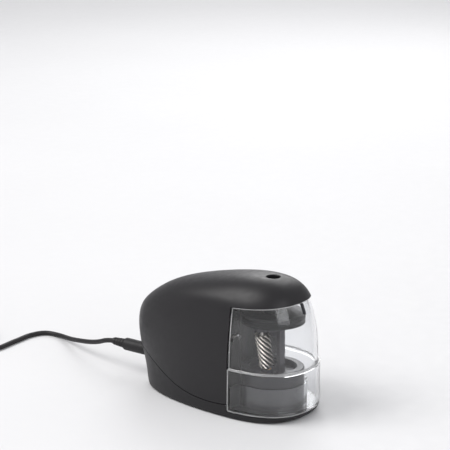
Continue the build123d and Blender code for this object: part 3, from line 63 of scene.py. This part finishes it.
# ---------------------------------------------------------------- shader building
class Graph:
    """A material's node tree with one Principled shader, and short ways to add what feeds it."""

    def __init__(self, name: str) -> None:
        """Start an empty material.

        Args:
            name: The material's name.
        """
        self.material = bpy.data.materials.new(name)
        self.material.use_nodes = True
        self.tree = self.material.node_tree
        self.tree.nodes.clear()
        self.output = self.tree.nodes.new("ShaderNodeOutputMaterial")
        self.shader = self.tree.nodes.new("ShaderNodeBsdfPrincipled")
        self.tree.links.new(self.shader.outputs["BSDF"], self.output.inputs["Surface"])
        self.place = self.tree.nodes.new("ShaderNodeTexCoord").outputs["Object"]

    def set(self, **values: float | Colour) -> None:
        """Set sockets of the Principled shader; an underscore in a name stands for a space.

        Args:
            **values: Socket name to number or colour.
        """
        for key, value in values.items():
            socket = self.shader.inputs[key.replace("_", " ")]
            socket.default_value = (*value, 1.0) if isinstance(value, tuple) else value

    def link(self, source: Socket, target: Socket) -> None:
        """Join two sockets.

        Args:
            source: The output.
            target: The input.
        """
        self.tree.links.new(source, target)

    def stretched(self, scale: Point) -> Socket:
        """Object coordinates stretched along the axes, for grain that runs one way.

        Args:
            scale: Multiplier on each axis.

        Returns:
            The stretched coordinates.
        """
        mapping = self.tree.nodes.new("ShaderNodeMapping")
        mapping.inputs["Scale"].default_value = scale
        self.link(self.place, mapping.inputs["Vector"])
        return mapping.outputs["Vector"]

    def noise(self, scale: float, detail: float = 2.0, where: Socket | None = None) -> Socket:
        """A noise pattern.

        Args:
            scale: Grains per metre.
            detail: Octaves of finer noise.
            where: Coordinates, or None for the object's own.

        Returns:
            The noise from 0 to 1.
        """
        node = self.tree.nodes.new("ShaderNodeTexNoise")
        node.inputs["Scale"].default_value = scale
        node.inputs["Detail"].default_value = detail
        self.link(where or self.place, node.inputs["Vector"])
        return node.outputs["Fac"]

    def spread(
        self, source: Socket, low: float, high: float, near: float = 0.3, far: float = 0.7
    ) -> Socket:
        """Map a pattern onto a range of numbers.

        Args:
            source: The pattern.
            low: Number where the pattern is at or under near.
            high: Number where it is at or over far.
            near: Pattern value that gives low.
            far: Pattern value that gives high.

        Returns:
            The mapped number.
        """
        node = self.tree.nodes.new("ShaderNodeMapRange")
        for key, value in (("From Min", near), ("From Max", far), ("To Min", low), ("To Max", high)):
            node.inputs[key].default_value = value
        self.link(source, node.inputs["Value"])
        return node.outputs["Result"]

    def blend(self, source: Socket, one: Colour, other: Colour) -> Socket:
        """Two colours mixed by a pattern.

        Args:
            source: The pattern.
            one: Colour at 0.
            other: Colour at 1.

        Returns:
            The mixed colour.
        """
        ramp = self.tree.nodes.new("ShaderNodeValToRGB")
        ramp.color_ramp.elements[0].position = 0.3
        ramp.color_ramp.elements[1].position = 0.7
        ramp.color_ramp.elements[0].color = (*one, 1.0)
        ramp.color_ramp.elements[1].color = (*other, 1.0)
        self.link(source, ramp.inputs["Fac"])
        return ramp.outputs["Color"]

    def bump(self, source: Socket, depth: float, strength: float = 1.0) -> None:
        """Raise the surface by a pattern.

        Args:
            source: The height pattern.
            depth: Height of the pattern in metres.
            strength: Share of the bump that shows.
        """
        node = self.tree.nodes.new("ShaderNodeBump")
        node.inputs["Distance"].default_value = depth
        node.inputs["Strength"].default_value = strength
        self.link(source, node.inputs["Height"])
        self.link(node.outputs["Normal"], self.shader.inputs["Normal"])


def shade(colour: Colour, factor: float) -> Colour:
    """A lighter or darker copy of a colour.

    Args:
        colour: The colour.
        factor: Multiplier.

    Returns:
        The scaled colour.
    """
    return tuple(min(1.0, part * factor) for part in colour)


# ---------------------------------------------------------------- finishes
@dataclass(frozen=True)
class Moulded:
    """Opaque moulded plastic or rubber with a spark-eroded grain."""

    name: str
    colour: Colour
    roughness: float = 0.45
    grain: float = 2400.0
    grain_depth: float = 0.00004
    mottle: float = 1.12
    coat: float = 0.0
    shine: float = 0.34

    def material(self) -> bpy.types.Material:
        """Build the material.

        Returns:
            The new material.
        """
        graph = Graph(self.name)
        graph.set(IOR=1.47, Coat_Weight=self.coat, Coat_Roughness=0.25, Specular_IOR_Level=self.shine)
        cloud = graph.noise(45.0, 3.0)
        tinted = graph.blend(cloud, self.colour, shade(self.colour, self.mottle))
        graph.link(tinted, graph.shader.inputs["Base Color"])
        rub = graph.noise(260.0, 4.0)
        worn = graph.spread(rub, self.roughness - 0.04, self.roughness + 0.05)
        graph.link(worn, graph.shader.inputs["Roughness"])
        graph.bump(graph.noise(self.grain, 2.0), self.grain_depth)
        return graph.material


@dataclass(frozen=True)
class Clear:
    """Clear polystyrene with a faint tint, fine scuffs and a hazy film of graphite."""

    name: str
    colour: Colour
    roughness: float = 0.03
    shine: float = 0.24
    # under 1, part of the base colour shows as diffuse white, which the edge finish uses as painted
    # highlight
    clarity: float = 1.0

    def material(self) -> bpy.types.Material:
        """Build the material.

        Returns:
            The new material.
        """
        graph = Graph(self.name)
        graph.set(Transmission_Weight=self.clarity, IOR=1.49)
        graph.set(Specular_IOR_Level=self.shine, Base_Color=self.colour)
        haze = graph.noise(70.0, 5.0)
        film = graph.spread(haze, self.roughness, self.roughness + 0.05)
        graph.link(film, graph.shader.inputs["Roughness"])
        graph.bump(graph.noise(55.0, 1.0), 0.00012, 0.35)
        return graph.material


@dataclass(frozen=True)
class Metal:
    """Machined, plated or sintered metal with grain that runs one way."""

    name: str
    colour: Colour
    roughness: float = 0.28
    grain: float = 1800.0
    along: Point = (1.0, 1.0, 0.08)
    depth: float = 0.00001

    def material(self) -> bpy.types.Material:
        """Build the material.

        Returns:
            The new material.
        """
        graph = Graph(self.name)
        graph.set(Metallic=1.0)
        lines = graph.noise(self.grain, 3.0, graph.stretched(self.along))
        brushed = graph.spread(lines, self.roughness - 0.08, self.roughness + 0.1)
        graph.link(brushed, graph.shader.inputs["Roughness"])
        stain = graph.noise(220.0, 3.0)
        tinted = graph.blend(stain, self.colour, shade(self.colour, 0.82))
        graph.link(tinted, graph.shader.inputs["Base Color"])
        graph.bump(lines, self.depth, 0.6)
        return graph.material


class Palette(Enum):
    """Every finish on the sharpener."""

    HOUSING = Moulded("housing_black", (0.0120, 0.0112, 0.0128), 0.40, 1900.0, 0.00003)
    BASE = Moulded("base_black", (0.0110, 0.0104, 0.0118), 0.44, 1900.0, 0.00003)
    # a little darker than the housing black: painted shade on the parts inside, under the hood
    INNER_PAINTED_SHADE = Moulded("inner_black", (0.0100, 0.0096, 0.0105), 0.36, 1500.0, 0.00002)
    # lighter grey on the gearbox cover: painted reflection, standing in for the light seen on it through
    # the clear bin's walls
    DRUM_PAINTED_LIGHT = Moulded("drum_painted_light", (0.040, 0.038, 0.044), 0.34, 1500.0, 0.00002, shine=0.5)
    # lighter grey on the cutter carrier: painted light, standing in for light falling in from the right
    # through the bin
    CARRIAGE_PAINTED_LIGHT = Moulded("carriage_painted_light", (0.058, 0.055, 0.063), 0.34, 1500.0, 0.00002, shine=0.5)
    SWITCH = Moulded("switch_black", (0.012, 0.012, 0.013), 0.3, 900.0, 0.00001, coat=0.3)
    LEVER = Moulded("lever_grey", (0.22, 0.22, 0.23), 0.4)
    PULL = Moulded("pull_grey", (0.035, 0.035, 0.04), 0.4)
    RUBBER = Moulded("rubber_black", (0.012, 0.012, 0.012), 0.75, 1300.0, 0.00006)
    ACETAL = Moulded("gear_white", (0.62, 0.60, 0.55), 0.35, 1200.0, 0.00001)
    LEAD = Moulded("lead_black", (0.014, 0.013, 0.014), 0.5, 1100.0, 0.00004)
    TIE = Moulded("tie_black", (0.010, 0.010, 0.010), 0.55)
    ADAPTER = Moulded("adapter_black", (0.018, 0.018, 0.020), 0.48, 1700.0, 0.00005)
    SLEEVE = Moulded("capacitor_sleeve", (0.02, 0.03, 0.08), 0.3, 700.0, 0.00001, coat=0.4)
    LAMINATE = Moulded("board_green", (0.02, 0.12, 0.05), 0.35, 900.0, 0.00001, coat=0.5)
    FERRITE = Moulded("magnet_grey", (0.05, 0.05, 0.05), 0.6, 1500.0, 0.00003)
    BIN = Clear("clear_plastic", (0.965, 0.972, 0.982))
    # whitish, part frosted clear: painted highlight along the bin's edges
    EDGE_HIGHLIGHT = Clear("clear_edge_painted_highlight", (1.0, 1.0, 1.0), 0.22, 1.0, 0.62)
    CUTTER = Metal("cutter_steel", (0.78, 0.73, 0.66), 0.22, 2600.0, (1.0, 1.0, 0.15))
    # near black metal on the hollow faces of the flutes, much darker than the ground steel
    FLUTE_HOLLOW_DARK = Metal("cutter_flute_hollow_dark", (0.055, 0.045, 0.04), 0.5, 1600.0, (1.0, 1.0, 1.0), 0.00004)
    BRIGHT = Metal("steel_bright", (0.62, 0.62, 0.63), 0.2)
    ZINC = Metal("steel_zinc", (0.52, 0.54, 0.57), 0.34, 900.0, (1.0, 1.0, 1.0))
    SINTER = Metal("gear_steel", (0.42, 0.41, 0.39), 0.42, 1500.0, (1.0, 1.0, 1.0), 0.00003)
    BRONZE = Metal("bronze", (0.60, 0.42, 0.22), 0.34, 1500.0, (1.0, 1.0, 1.0))
    LAMINATION = Metal("lamination_grey", (0.30, 0.30, 0.31), 0.4, 4000.0, (0.05, 0.05, 1.0), 0.00003)


class Paints:
    """Makes each finish once, and dresses pieces and CAD nodes in it."""

    def __init__(self) -> None:
        """Start with nothing made."""
        self.made: dict[str, bpy.types.Material] = {}

    def get(self, finish: Palette) -> bpy.types.Material:
        """The finish's material, made on first use.

        Args:
            finish: The finish.

        Returns:
            Its material.
        """
        name = finish.value.name
        if name not in self.made:
            self.made[name] = finish.value.material()
        return self.made[name]

    def dress(self, piece: bpy.types.Object, finish: Palette) -> None:
        """Give a piece one finish all over.

        Args:
            piece: Mesh or curve object.
            finish: The finish.
        """
        piece.data.materials.clear()
        piece.data.materials.append(self.get(finish))

    def dress_nodes(self) -> None:
        """Give every CAD node the finish of its own slot, except the gearbox cover and cutter carrier,
        which get lighter greys as painted light, and smooth its shading between sharp edges.
        """
        by_name = {finish.value.name: finish for finish in Palette}
        # the gearbox cover and cutter carrier take lighter greys: painted reflection and painted light seen
        # through the clear bin
        painted_light_overrides = {"gearbox_cover": Palette.DRUM_PAINTED_LIGHT, "cutter_carrier": Palette.CARRIAGE_PAINTED_LIGHT}
        slots = {part["node"]: part["material_slot"] for part in frame["record"]["subparts"]}
        for name, node in frame["nodes"].items():
            self.dress(node, painted_light_overrides.get(name, by_name[slots[name]]))
            node.data.shade_smooth()
            node.data.set_sharp_from_angle(angle=math.radians(28.0))


# ---------------------------------------------------------------- mesh helpers
def add_mesh(
    name: str, points: list[Point], faces: list[tuple[int, ...]], smooth_angle: float = 35.0
) -> bpy.types.Object:
    """A new mesh object with shading smoothed up to an angle.

    Args:
        name: The piece's name.
        points: Corners in metres.
        faces: Corner numbers of each face.
        smooth_angle: Edges sharper than this many degrees stay sharp.

    Returns:
        The new object.
    """
    mesh = bpy.data.meshes.new(name)
    mesh.from_pydata(points, [], faces)
    work = bmesh.new()
    work.from_mesh(mesh)
    bmesh.ops.recalc_face_normals(work, faces=work.faces)
    work.to_mesh(mesh)
    work.free()
    mesh.shade_smooth()
    mesh.set_sharp_from_angle(angle=math.radians(smooth_angle))
    piece = bpy.data.objects.new(name, mesh)
    bpy.context.scene.collection.objects.link(piece)
    return piece


def add_tube(
    name: str, rings: list[list[Point]], closed_ends: bool = True, smooth_angle: float = 35.0
) -> bpy.types.Object:
    """A skin over rings of equal count, closed by a face at each end.

    Args:
        name: The piece's name.
        rings: Loops of points, from one end to the other.
        closed_ends: Whether the two ends get a face.
        smooth_angle: Edges sharper than this many degrees stay sharp.

    Returns:
        The new object.
    """
    count = len(rings[0])
    points = [point for ring in rings for point in ring]
    faces: list[tuple[int, ...]] = []
    for level in range(len(rings) - 1):
        for step in range(count):
            after = (step + 1) % count
            low, high = level * count, (level + 1) * count
            faces.append((low + step, low + after, high + after, high + step))
    if closed_ends:
        faces.append(tuple(reversed(range(count))))
        faces.append(tuple((len(rings) - 1) * count + step for step in range(count)))
    return add_mesh(name, points, faces, smooth_angle)


def place(seam: float, points: list[Point]) -> list[Point]:
    """Points given in millimetres from the seam, moved into the row frame in metres.

    Args:
        seam: Y of the seam in metres.
        points: Across, behind the seam and up, in millimetres.

    Returns:
        The points in metres.
    """
    return [(x * MM, seam + back * MM, z * MM) for x, back, z in points]


# ---------------------------------------------------------------- sub-assemblies
@dataclass
class SpiralCutter:
    """The spiral milling cutter: raked flutes on a drum, with a ground band at each end."""

    paints: Paints
    radius: float = 4.7 * MM
    depth: float = 1.15 * MM
    bore: float = 1.5 * MM
    low: float = -0.5 * MM
    high: float = 21.5 * MM
    flutes: int = 9
    twist: float = -4.4
    tilt: float = 10.5
    azimuth: float = 165.0
    axis_back: float = -12.8 * MM
    tip_height: float = 30.0 * MM
    levels: int = 90
    # one flute: share of its pitch, then share of its depth; a narrow land, a hollow face and a rising back
    profile: tuple[tuple[float, float], ...] = (
        (0.0, 0.0), (0.10, 0.0), (0.22, 0.10), (0.34, 0.45),
        (0.48, 0.85), (0.64, 1.0), (0.82, 0.80), (0.95, 0.30),
    )
    hollow: tuple[int, ...] = (3, 4, 5, 6)

    def build(self, seam: float) -> bpy.types.Object:
        """Make the cutter on its leaning axis, in place of the CAD drum.

        Args:
            seam: Y of the seam in metres.

        Returns:
            The cutter.
        """
        lean, turned = math.radians(self.tilt), math.radians(self.azimuth)
        outward = Vector((math.cos(turned), math.sin(turned), 0.0))
        foot = Vector((0.0, seam + self.axis_back, self.tip_height))
        foot += outward * (self.radius / math.cos(lean))
        along = outward * math.sin(lean) + Vector((0.0, 0.0, math.cos(lean)))
        across = outward * math.cos(lean) - Vector((0.0, 0.0, math.sin(lean)))
        third = along.cross(across)
        rings = []
        for level in range(self.levels + 1):
            share = level / self.levels
            height = self.low + share * (self.high - self.low)
            ring = []
            for flute in range(self.flutes):
                for step, fall in self.profile:
                    turn = 2 * math.pi * (flute + step) / self.flutes + share * self.twist
                    reach = self.radius - self.depth * fall * self.run_out(share)
                    around_axis = across * (reach * math.cos(turn)) + third * (reach * math.sin(turn))
                    ring.append(tuple(foot + along * height + around_axis))
            rings.append(ring)
        ends = [
            self.end_ring(foot, along, across, third, height, len(rings[0]))
            for height in (self.low, self.high)
        ]
        piece = add_tube("spiral_cutter", [ends[0], *rings, ends[1]], closed_ends=False, smooth_angle=38.0)
        self.paints.dress(piece, Palette.CUTTER)
        piece.data.materials.append(self.paints.get(Palette.FLUTE_HOLLOW_DARK))
        around = len(rings[0])
        # the hollow faces of the flutes take the darker second finish
        fluted = range(around, around * (self.levels + 1))
        for index in fluted:
            if index % around % len(self.profile) in self.hollow:
                piece.data.polygons[index].material_index = 1
        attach(piece, "cutter")
        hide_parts("helical_cutter")
        return piece

    def run_out(self, share: float) -> float:
        """How deep the flutes are at a share of the length: they run out just short of the top."""
        return min(1.0, max(0.25, (1.0 - share) / 0.05))

    def end_ring(
        self, foot: Vector, along: Vector, across: Vector, third: Vector, height: float, count: int
    ) -> list[Point]:
        """The bore's edge at one end.

        Args:
            foot: Point on the axis at the height of the tip.
            along: Axis direction.
            across: One direction across it.
            third: The other.
            height: Distance along the axis.
            count: Points in the ring.

        Returns:
            The ring.
        """
        points = []
        for step in range(count):
            turn = 2 * math.pi * step / count
            side = across * math.cos(turn) + third * math.sin(turn)
            points.append(tuple(foot + along * height + side * self.bore))
        return points


@dataclass
class Form:
    """The housing's outer form, for pieces that follow it."""

    half_width: float = 31.4
    front: float = 41.0
    fullness: float = 0.69
    height: float = 85.0
    foot: float = 1.0
    # share of the height, then how far the half width and the front stand in, in millimetres
    levels: tuple[Point, ...] = (
        (0.0, 0.5, 3.2), (0.045, 0.0, 0.4), (0.153, 0.0, 0.2), (0.318, 0.2, 0.3), (0.482, 0.6, 0.3),
        (0.624, 1.7, 1.0), (0.741, 3.0, 3.2), (0.835, 4.7, 6.0), (0.906, 8.4, 9.4),
    )

    def reach(self, height: float) -> tuple[float, float]:
        """Half width and front reach at a height.

        Args:
            height: Height over the table in millimetres.

        Returns:
            Both in millimetres.
        """
        share = (height - self.foot) / self.height
        for (low, narrow, back), (high, narrower, further) in zip(self.levels, self.levels[1:]):
            if low <= share <= high:
                part = (share - low) / (high - low)
                half = self.half_width - narrow - part * (narrower - narrow)
                return half, self.front - back - part * (further - back)
        raise ValueError(f"height {height} is outside the form")

    def front_curve(self, share: float, height: float, inset: float) -> tuple[float, float]:
        """A point on the front half of a level section.

        Args:
            share: 0 at one side of the seam, 0.5 at the front and 1 at the other side.
            height: Height over the table.
            inset: How far inside the form.

        Returns:
            Across and behind the seam, in millimetres.
        """
        half, reach = self.reach(height)
        half, reach = half - inset, reach - inset
        side = -1.0 if share < 0.5 else 1.0
        part = 2 * share if share < 0.5 else 2 * (1 - share)
        left = 1 - part
        across = half * (left**3 + 3 * left**2 * part + 3 * left * part**2 * self.fullness)
        back = -reach * (3 * left**2 * part * self.fullness + 3 * left * part**2 + part**3)
        return side * across, back


@dataclass
class BinEdges:
    """Rounded beads along the clear bin's edges: rim, ring, floor and both rear ends, in a whitish
    part-frosted finish that paints the bright edge highlights.
    """

    paints: Paints
    form: Form = field(default_factory=Form)
    bead: float = 0.45
    gap: float = 0.3
    sunk: float = 0.97
    step: float = 1.2
    end_gap: float = 0.8
    ring: float = 32.0
    floor: float = 4.6
    hood: float = 70.6
    hood_rise: float = 3.4
    count: int = 96
    sides: int = 10

    def around(self, height: float, inset: float, rise: float = 0.0) -> list[Point]:
        """A line round the front of the bin.

        Args:
            height: Height at the seam.
            inset: How far inside the form.
            rise: How much higher it is at the front.

        Returns:
            Points in millimetres from the seam.
        """
        line = []
        for index in range(self.count + 1):
            share = 0.004 + 0.992 * index / self.count
            _, back = self.form.front_curve(share, height, inset)
            level = height - rise * back / self.form.front
            across, back = self.form.front_curve(share, level, inset)
            line.append((across, min(back, -self.gap - self.bead), level))
        return line

    def upright(self, side: int, low: float, high: float, inset: float) -> list[Point]:
        """A line up one rear end of the bin.

        Args:
            side: 1 on the right and -1 on the left.
            low: Lowest height.
            high: Highest height.
            inset: How far inside the form.

        Returns:
            Points in millimetres from the seam.
        """
        heights = [low + (high - low) * index / 24 for index in range(25)]
        return [(side * (self.form.reach(z)[0] - inset), -self.gap - self.bead, z) for z in heights]

    def tube(self, seam: float, name: str, line: list[Point], radius: float) -> bpy.types.Object:
        """Sweep a bead along a line.

        Args:
            seam: Y of the seam in metres.
            name: The piece's name.
            line: Points in millimetres from the seam.
            radius: The bead's radius in millimetres.

        Returns:
            The bead.
        """
        spots = [Vector(point) for point in place(seam, line)]
        rings = []
        for index, spot in enumerate(spots):
            ahead = (spots[min(index + 1, len(spots) - 1)] - spots[max(index - 1, 0)]).normalized()
            upward = Vector((0.0, 1.0, 0.0)) if abs(ahead.z) > 0.9 else Vector((0.0, 0.0, 1.0))
            side = ahead.cross(upward).normalized()
            other = side.cross(ahead)
            turns = [2 * math.pi * step / self.sides for step in range(self.sides)]
            spokes = [(side * math.cos(turn) + other * math.sin(turn)) * radius * MM for turn in turns]
            rings.append([tuple(spot + spoke) for spoke in spokes])
        piece = add_tube(name, rings, smooth_angle=60.0)
        self.paints.dress(piece, Palette.EDGE_HIGHLIGHT)
        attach(piece, "bin")
        return piece

    def build(self, seam: float) -> list[bpy.types.Object]:
        """Make every bead.

        Args:
            seam: Y of the seam in metres.

        Returns:
            The beads.
        """
        skin = self.bead * self.sunk
        upper = self.step + skin
        top = self.hood - self.gap - self.bead
        beads = [
            self.tube(seam, "bin_rim_bead", self.around(top, upper, self.hood_rise), self.bead),
            self.tube(seam, "bin_ring_bead", self.around(self.ring - self.bead, skin, 0.0), self.bead),
            self.tube(seam, "bin_ring_root", self.around(self.ring + 0.1, self.step, 0.0), self.bead * 0.7),
            self.tube(seam, "bin_floor_bead", self.around(self.floor + self.bead, skin, 0.0), self.bead),
        ]
        for side, word in ((-1, "left"), (1, "right")):
            high = self.upright(side, self.ring, top, upper)
            low = self.upright(side, self.floor + self.end_gap, self.ring - self.end_gap, skin)
            beads.append(self.tube(seam, f"bin_upright_{word}_high", high, self.bead))
            beads.append(self.tube(seam, f"bin_upright_{word}_low", low, self.bead))
        return beads


@dataclass
class Lead:
    """The lead from the barrel plug, along the table, round a tied coil and into the adapter."""

    paints: Paints
    diameter: float = 3.2 * MM
    coil_x: float = -24.0
    coil_back: float = 245.0
    turns: int = 8
    steps: int = 24
    entry_angle: float = 211.0
    crossing: float = 0.35
    shrink: float = 0.9914
    # strand places in the coil, radius and height in millimetres, in the order the lead fills them
    berths: tuple[tuple[float, float], ...] = (
        (23.6, 1.7), (20.4, 1.7), (17.4, 1.7), (14.2, 1.7), (14.2, 4.9),
        (17.4, 4.9), (20.6, 4.9), (23.6, 4.9), (23.6, 8.1), (23.6, 8.1),
    )
    outgoing: tuple[Point, ...] = (
        (0.0, 116.0, 18.6), (0.4, 122.5, 17.8), (2.6, 131.0, 14.0), (6.2, 142.5, 10.6),
        (10.6, 155.0, 7.8), (18.4, 171.5, 3.8), (25.0, 186.0, 1.7), (24.0, 199.0, 1.7),
        (12.4, 203.4, 1.7), (1.5, 202.4, 1.7), (-8.1, 202.2, 1.7), (-20.0, 200.9, 1.7),
        (-33.0, 203.2, 1.7), (-41.6, 211.4, 1.7), (-44.8, 222.0, 1.7), (-44.6, 232.6, 1.7),
    )
    returning: tuple[Point, ...] = (
        (-17.4, 267.9, 8.1), (-10.6, 269.4, 8.0), (-4.0, 271.4, 5.6),
        (1.4, 275.4, 3.4), (5.0, 283.0, 2.4), (5.0, 290.0, 3.4),
    )

    def coil(self) -> list[Point]:
        """The turns, clockwise from above, each crossing to its next berth early on.

        Returns:
            Route points in millimetres from the seam.
        """
        points = []
        whole = int((self.turns + 0.36) * self.steps)
        for step in range(1, whole + 1):
            turn, part = divmod(step / self.steps, 1.0)
            here, there = self.berths[int(turn)], self.berths[int(turn) + 1]
            ramp = min(1.0, part / self.crossing)
            ease = ramp * ramp * (3 - 2 * ramp)
            radius = (here[0] + (there[0] - here[0]) * ease) / self.shrink
            height = here[1] + (there[1] - here[1]) * ease
            angle = math.radians(self.entry_angle) - 2 * math.pi * (turn + part)
            across, back = radius * math.cos(angle), radius * math.sin(angle)
            points.append((self.coil_x + across, self.coil_back + back, height))
        return points

    def build(self, seam: float) -> bpy.types.Object:
        """Args:
            seam: Y of the seam in metres.

        Returns:
            The lead.
        """
        route = place(seam, [*self.outgoing, *self.coil(), *self.returning])
        curve = bpy.data.curves.new("lead", "CURVE")
        curve.dimensions = "3D"
        spline = curve.splines.new("NURBS")
        spline.points.add(len(route) - 1)
        for point, at in zip(spline.points, route):
            point.co = (*at, 1.0)
            point.radius = self.diameter / 2
        spline.order_u = 3
        spline.use_endpoint_u = True
        spline.resolution_u = 4
        curve.bevel_depth = 1.0
        curve.bevel_resolution = 5
        curve.use_fill_caps = True
        piece = bpy.data.objects.new("lead", curve)
        bpy.context.scene.collection.objects.link(piece)
        self.paints.dress(piece, Palette.LEAD)
        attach(piece, "housing")
        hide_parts("power_cord", "cord_tail", "cord_coil")
        length = self.measure(piece)
        log.info("lead is %.3f m along its middle", length)
        return piece

    def measure(self, piece: bpy.types.Object) -> float:
        """Length of the curve's middle line.

        Args:
            piece: The lead.

        Returns:
            The length in metres.
        """
        depth, piece.data.bevel_depth = piece.data.bevel_depth, 0.0
        mesh = bpy.data.meshes.new_from_object(piece)
        piece.data.bevel_depth = depth
        ends = [edge.vertices for edge in mesh.edges]
        total = sum((mesh.vertices[a].co - mesh.vertices[b].co).length for a, b in ends)
        bpy.data.meshes.remove(mesh)
        return total


@dataclass(frozen=True)
class Paper:
    """Matt white studio surface with the faintest mottle."""

    name: str
    colour: Colour

    def material(self) -> bpy.types.Material:
        """Build the material.

        Returns:
            The new material.
        """
        graph = Graph(self.name)
        graph.set(Specular_IOR_Level=0.2)
        cloud = graph.noise(6.0, 2.0)
        tinted = graph.blend(cloud, self.colour, shade(self.colour, 0.985))
        graph.link(tinted, graph.shader.inputs["Base Color"])
        graph.link(graph.spread(graph.noise(90.0), 0.55, 0.7), graph.shader.inputs["Roughness"])
        graph.bump(graph.noise(1400.0), 0.00002, 0.3)
        return graph.material


@dataclass
class Studio:
    """White sweep, soft lights, and the camera that frames the sharpener."""

    azimuth: float = -53.3
    elevation: float = 18.5
    distance: float = 1.2
    lens: float = 151.7
    target: Point = (0.0, 0.025, 0.040)
    dip: float = 15.15
    shift: tuple[float, float] = (0.0022, 0.0)
    sweep_reach: float = 3.0
    sweep_radius: float = 1.2

    def sweep(self) -> bpy.types.Object:
        """A floor that curves up into a backdrop behind the sharpener.

        Returns:
            The sweep.
        """
        turned = math.radians(self.azimuth)
        away = Vector((-math.sin(turned), math.cos(turned), 0.0))
        side = Vector((math.cos(turned), math.sin(turned), 0.0))
        outline = [(-self.sweep_reach, 0.0), (self.sweep_reach / 2, 0.0)]
        for step in range(1, 17):
            turn = math.pi / 2 * step / 16
            behind = self.sweep_reach / 2 + self.sweep_radius * math.sin(turn)
            outline.append((behind, self.sweep_radius * (1 - math.cos(turn))))
        outline.append((outline[-1][0], self.sweep_reach))
        points, faces = [], []
        for along, height in outline:
            for across in (-2 * self.sweep_reach, 2 * self.sweep_reach):
                points.append(tuple(away * along + side * across + Vector((0.0, 0.0, height - 0.00005))))
        for step in range(len(outline) - 1):
            faces.append((2 * step, 2 * step + 1, 2 * step + 3, 2 * step + 2))
        floor = add_mesh("studio_sweep", points, faces, 80.0)
        floor.data.materials.append(Paper("studio_paper", (0.69, 0.69, 0.70)).material())
        return floor

    def light(
        self, name: str, at: Point, aim: Point, size: tuple[float, float], power: float, colour: Colour
    ) -> None:
        """Add one rectangular soft light.

        Args:
            name: The light's name.
            at: Its place in metres.
            aim: The point it faces.
            size: Width and height in metres.
            power: Watts.
            colour: Tint.
        """
        lamp = bpy.data.lights.new(name, "AREA")
        lamp.shape = "RECTANGLE"
        lamp.size, lamp.size_y = size
        lamp.energy = power
        lamp.color = colour
        holder = bpy.data.objects.new(name, lamp)
        holder.location = at
        holder.rotation_euler = (Vector(aim) - Vector(at)).to_track_quat("-Z", "Y").to_euler()
        bpy.context.scene.collection.objects.link(holder)

    def surround(self, strength: float) -> None:
        """Set an even, near-white surround.

        Args:
            strength: Brightness of the surround.
        """
        world = bpy.data.worlds.new("surround")
        world.use_nodes = True
        world.node_tree.nodes["Background"].inputs["Color"].default_value = (0.99, 0.99, 1.0, 1.0)
        world.node_tree.nodes["Background"].inputs["Strength"].default_value = strength
        bpy.context.scene.world = world

    def camera(self, seam: float) -> None:
        """Set the camera on its round about the seam.

        Args:
            seam: Y of the seam in metres.
        """
        turned, raised = math.radians(self.azimuth), math.radians(self.elevation)
        target = Vector((self.target[0], seam + self.target[1], self.target[2]))
        level = math.cos(raised)
        back = Vector((math.sin(turned) * level, -math.cos(turned) * level, math.sin(raised)))
        lens = bpy.data.cameras.new("main_camera")
        lens.lens = self.lens
        lens.sensor_width = 36.0
        lens.shift_x, lens.shift_y = self.shift
        holder = bpy.data.objects.new("main_camera", lens)
        holder.location = target + back * self.distance
        holder.rotation_euler = (math.pi / 2 - math.radians(self.dip), 0.0, turned)
        bpy.context.scene.collection.objects.link(holder)
        bpy.context.scene.camera = holder

    def build(self, seam: float) -> None:
        """Lay the sweep, hang the lights and set the camera.

        Args:
            seam: Y of the seam in metres.
        """
        self.sweep()
        self.surround(0.66)
        self.light("key", (-0.9, 0.9, 1.5), (0.0, 0.0, 0.03), (1.2, 1.2), 26.0, (1.0, 0.99, 0.98))
        self.light("fill", (-0.4, -1.6, 0.9), (0.0, 0.0, 0.04), (1.4, 1.0), 10.0, (0.97, 0.98, 1.0))
        self.light("rim", (1.2, 0.6, 0.9), (0.0, 0.0, 0.04), (0.8, 1.0), 8.0, (1.0, 1.0, 1.0))
        self.camera(seam)
        bpy.context.scene.view_settings.view_transform = "Standard"


# ---------------------------------------------------------------- scene
def main() -> None:
    """Build the sharpener's looks around the frame, then the studio."""
    logging.basicConfig(level=logging.INFO, format="%(name)s: %(message)s")
    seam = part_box("plug_body")[0].y - 81.5 * MM
    paints = Paints()
    paints.dress_nodes()
    log.info("dressed %d nodes", len(frame["nodes"]))
    cutter = SpiralCutter(paints).build(seam)
    log.info("built %s", cutter.name)
    beads = BinEdges(paints).build(seam)
    log.info("built %d bin edges", len(beads))
    lead = Lead(paints).build(seam)
    log.info("built %s", lead.name)
    Studio().build(seam)
    log.info("studio is set")


def record_sizes() -> None:
    """Bring the view layer up to date."""
    bpy.context.view_layer.update()


if __name__ == "__main__":
    main()
    record_sizes()
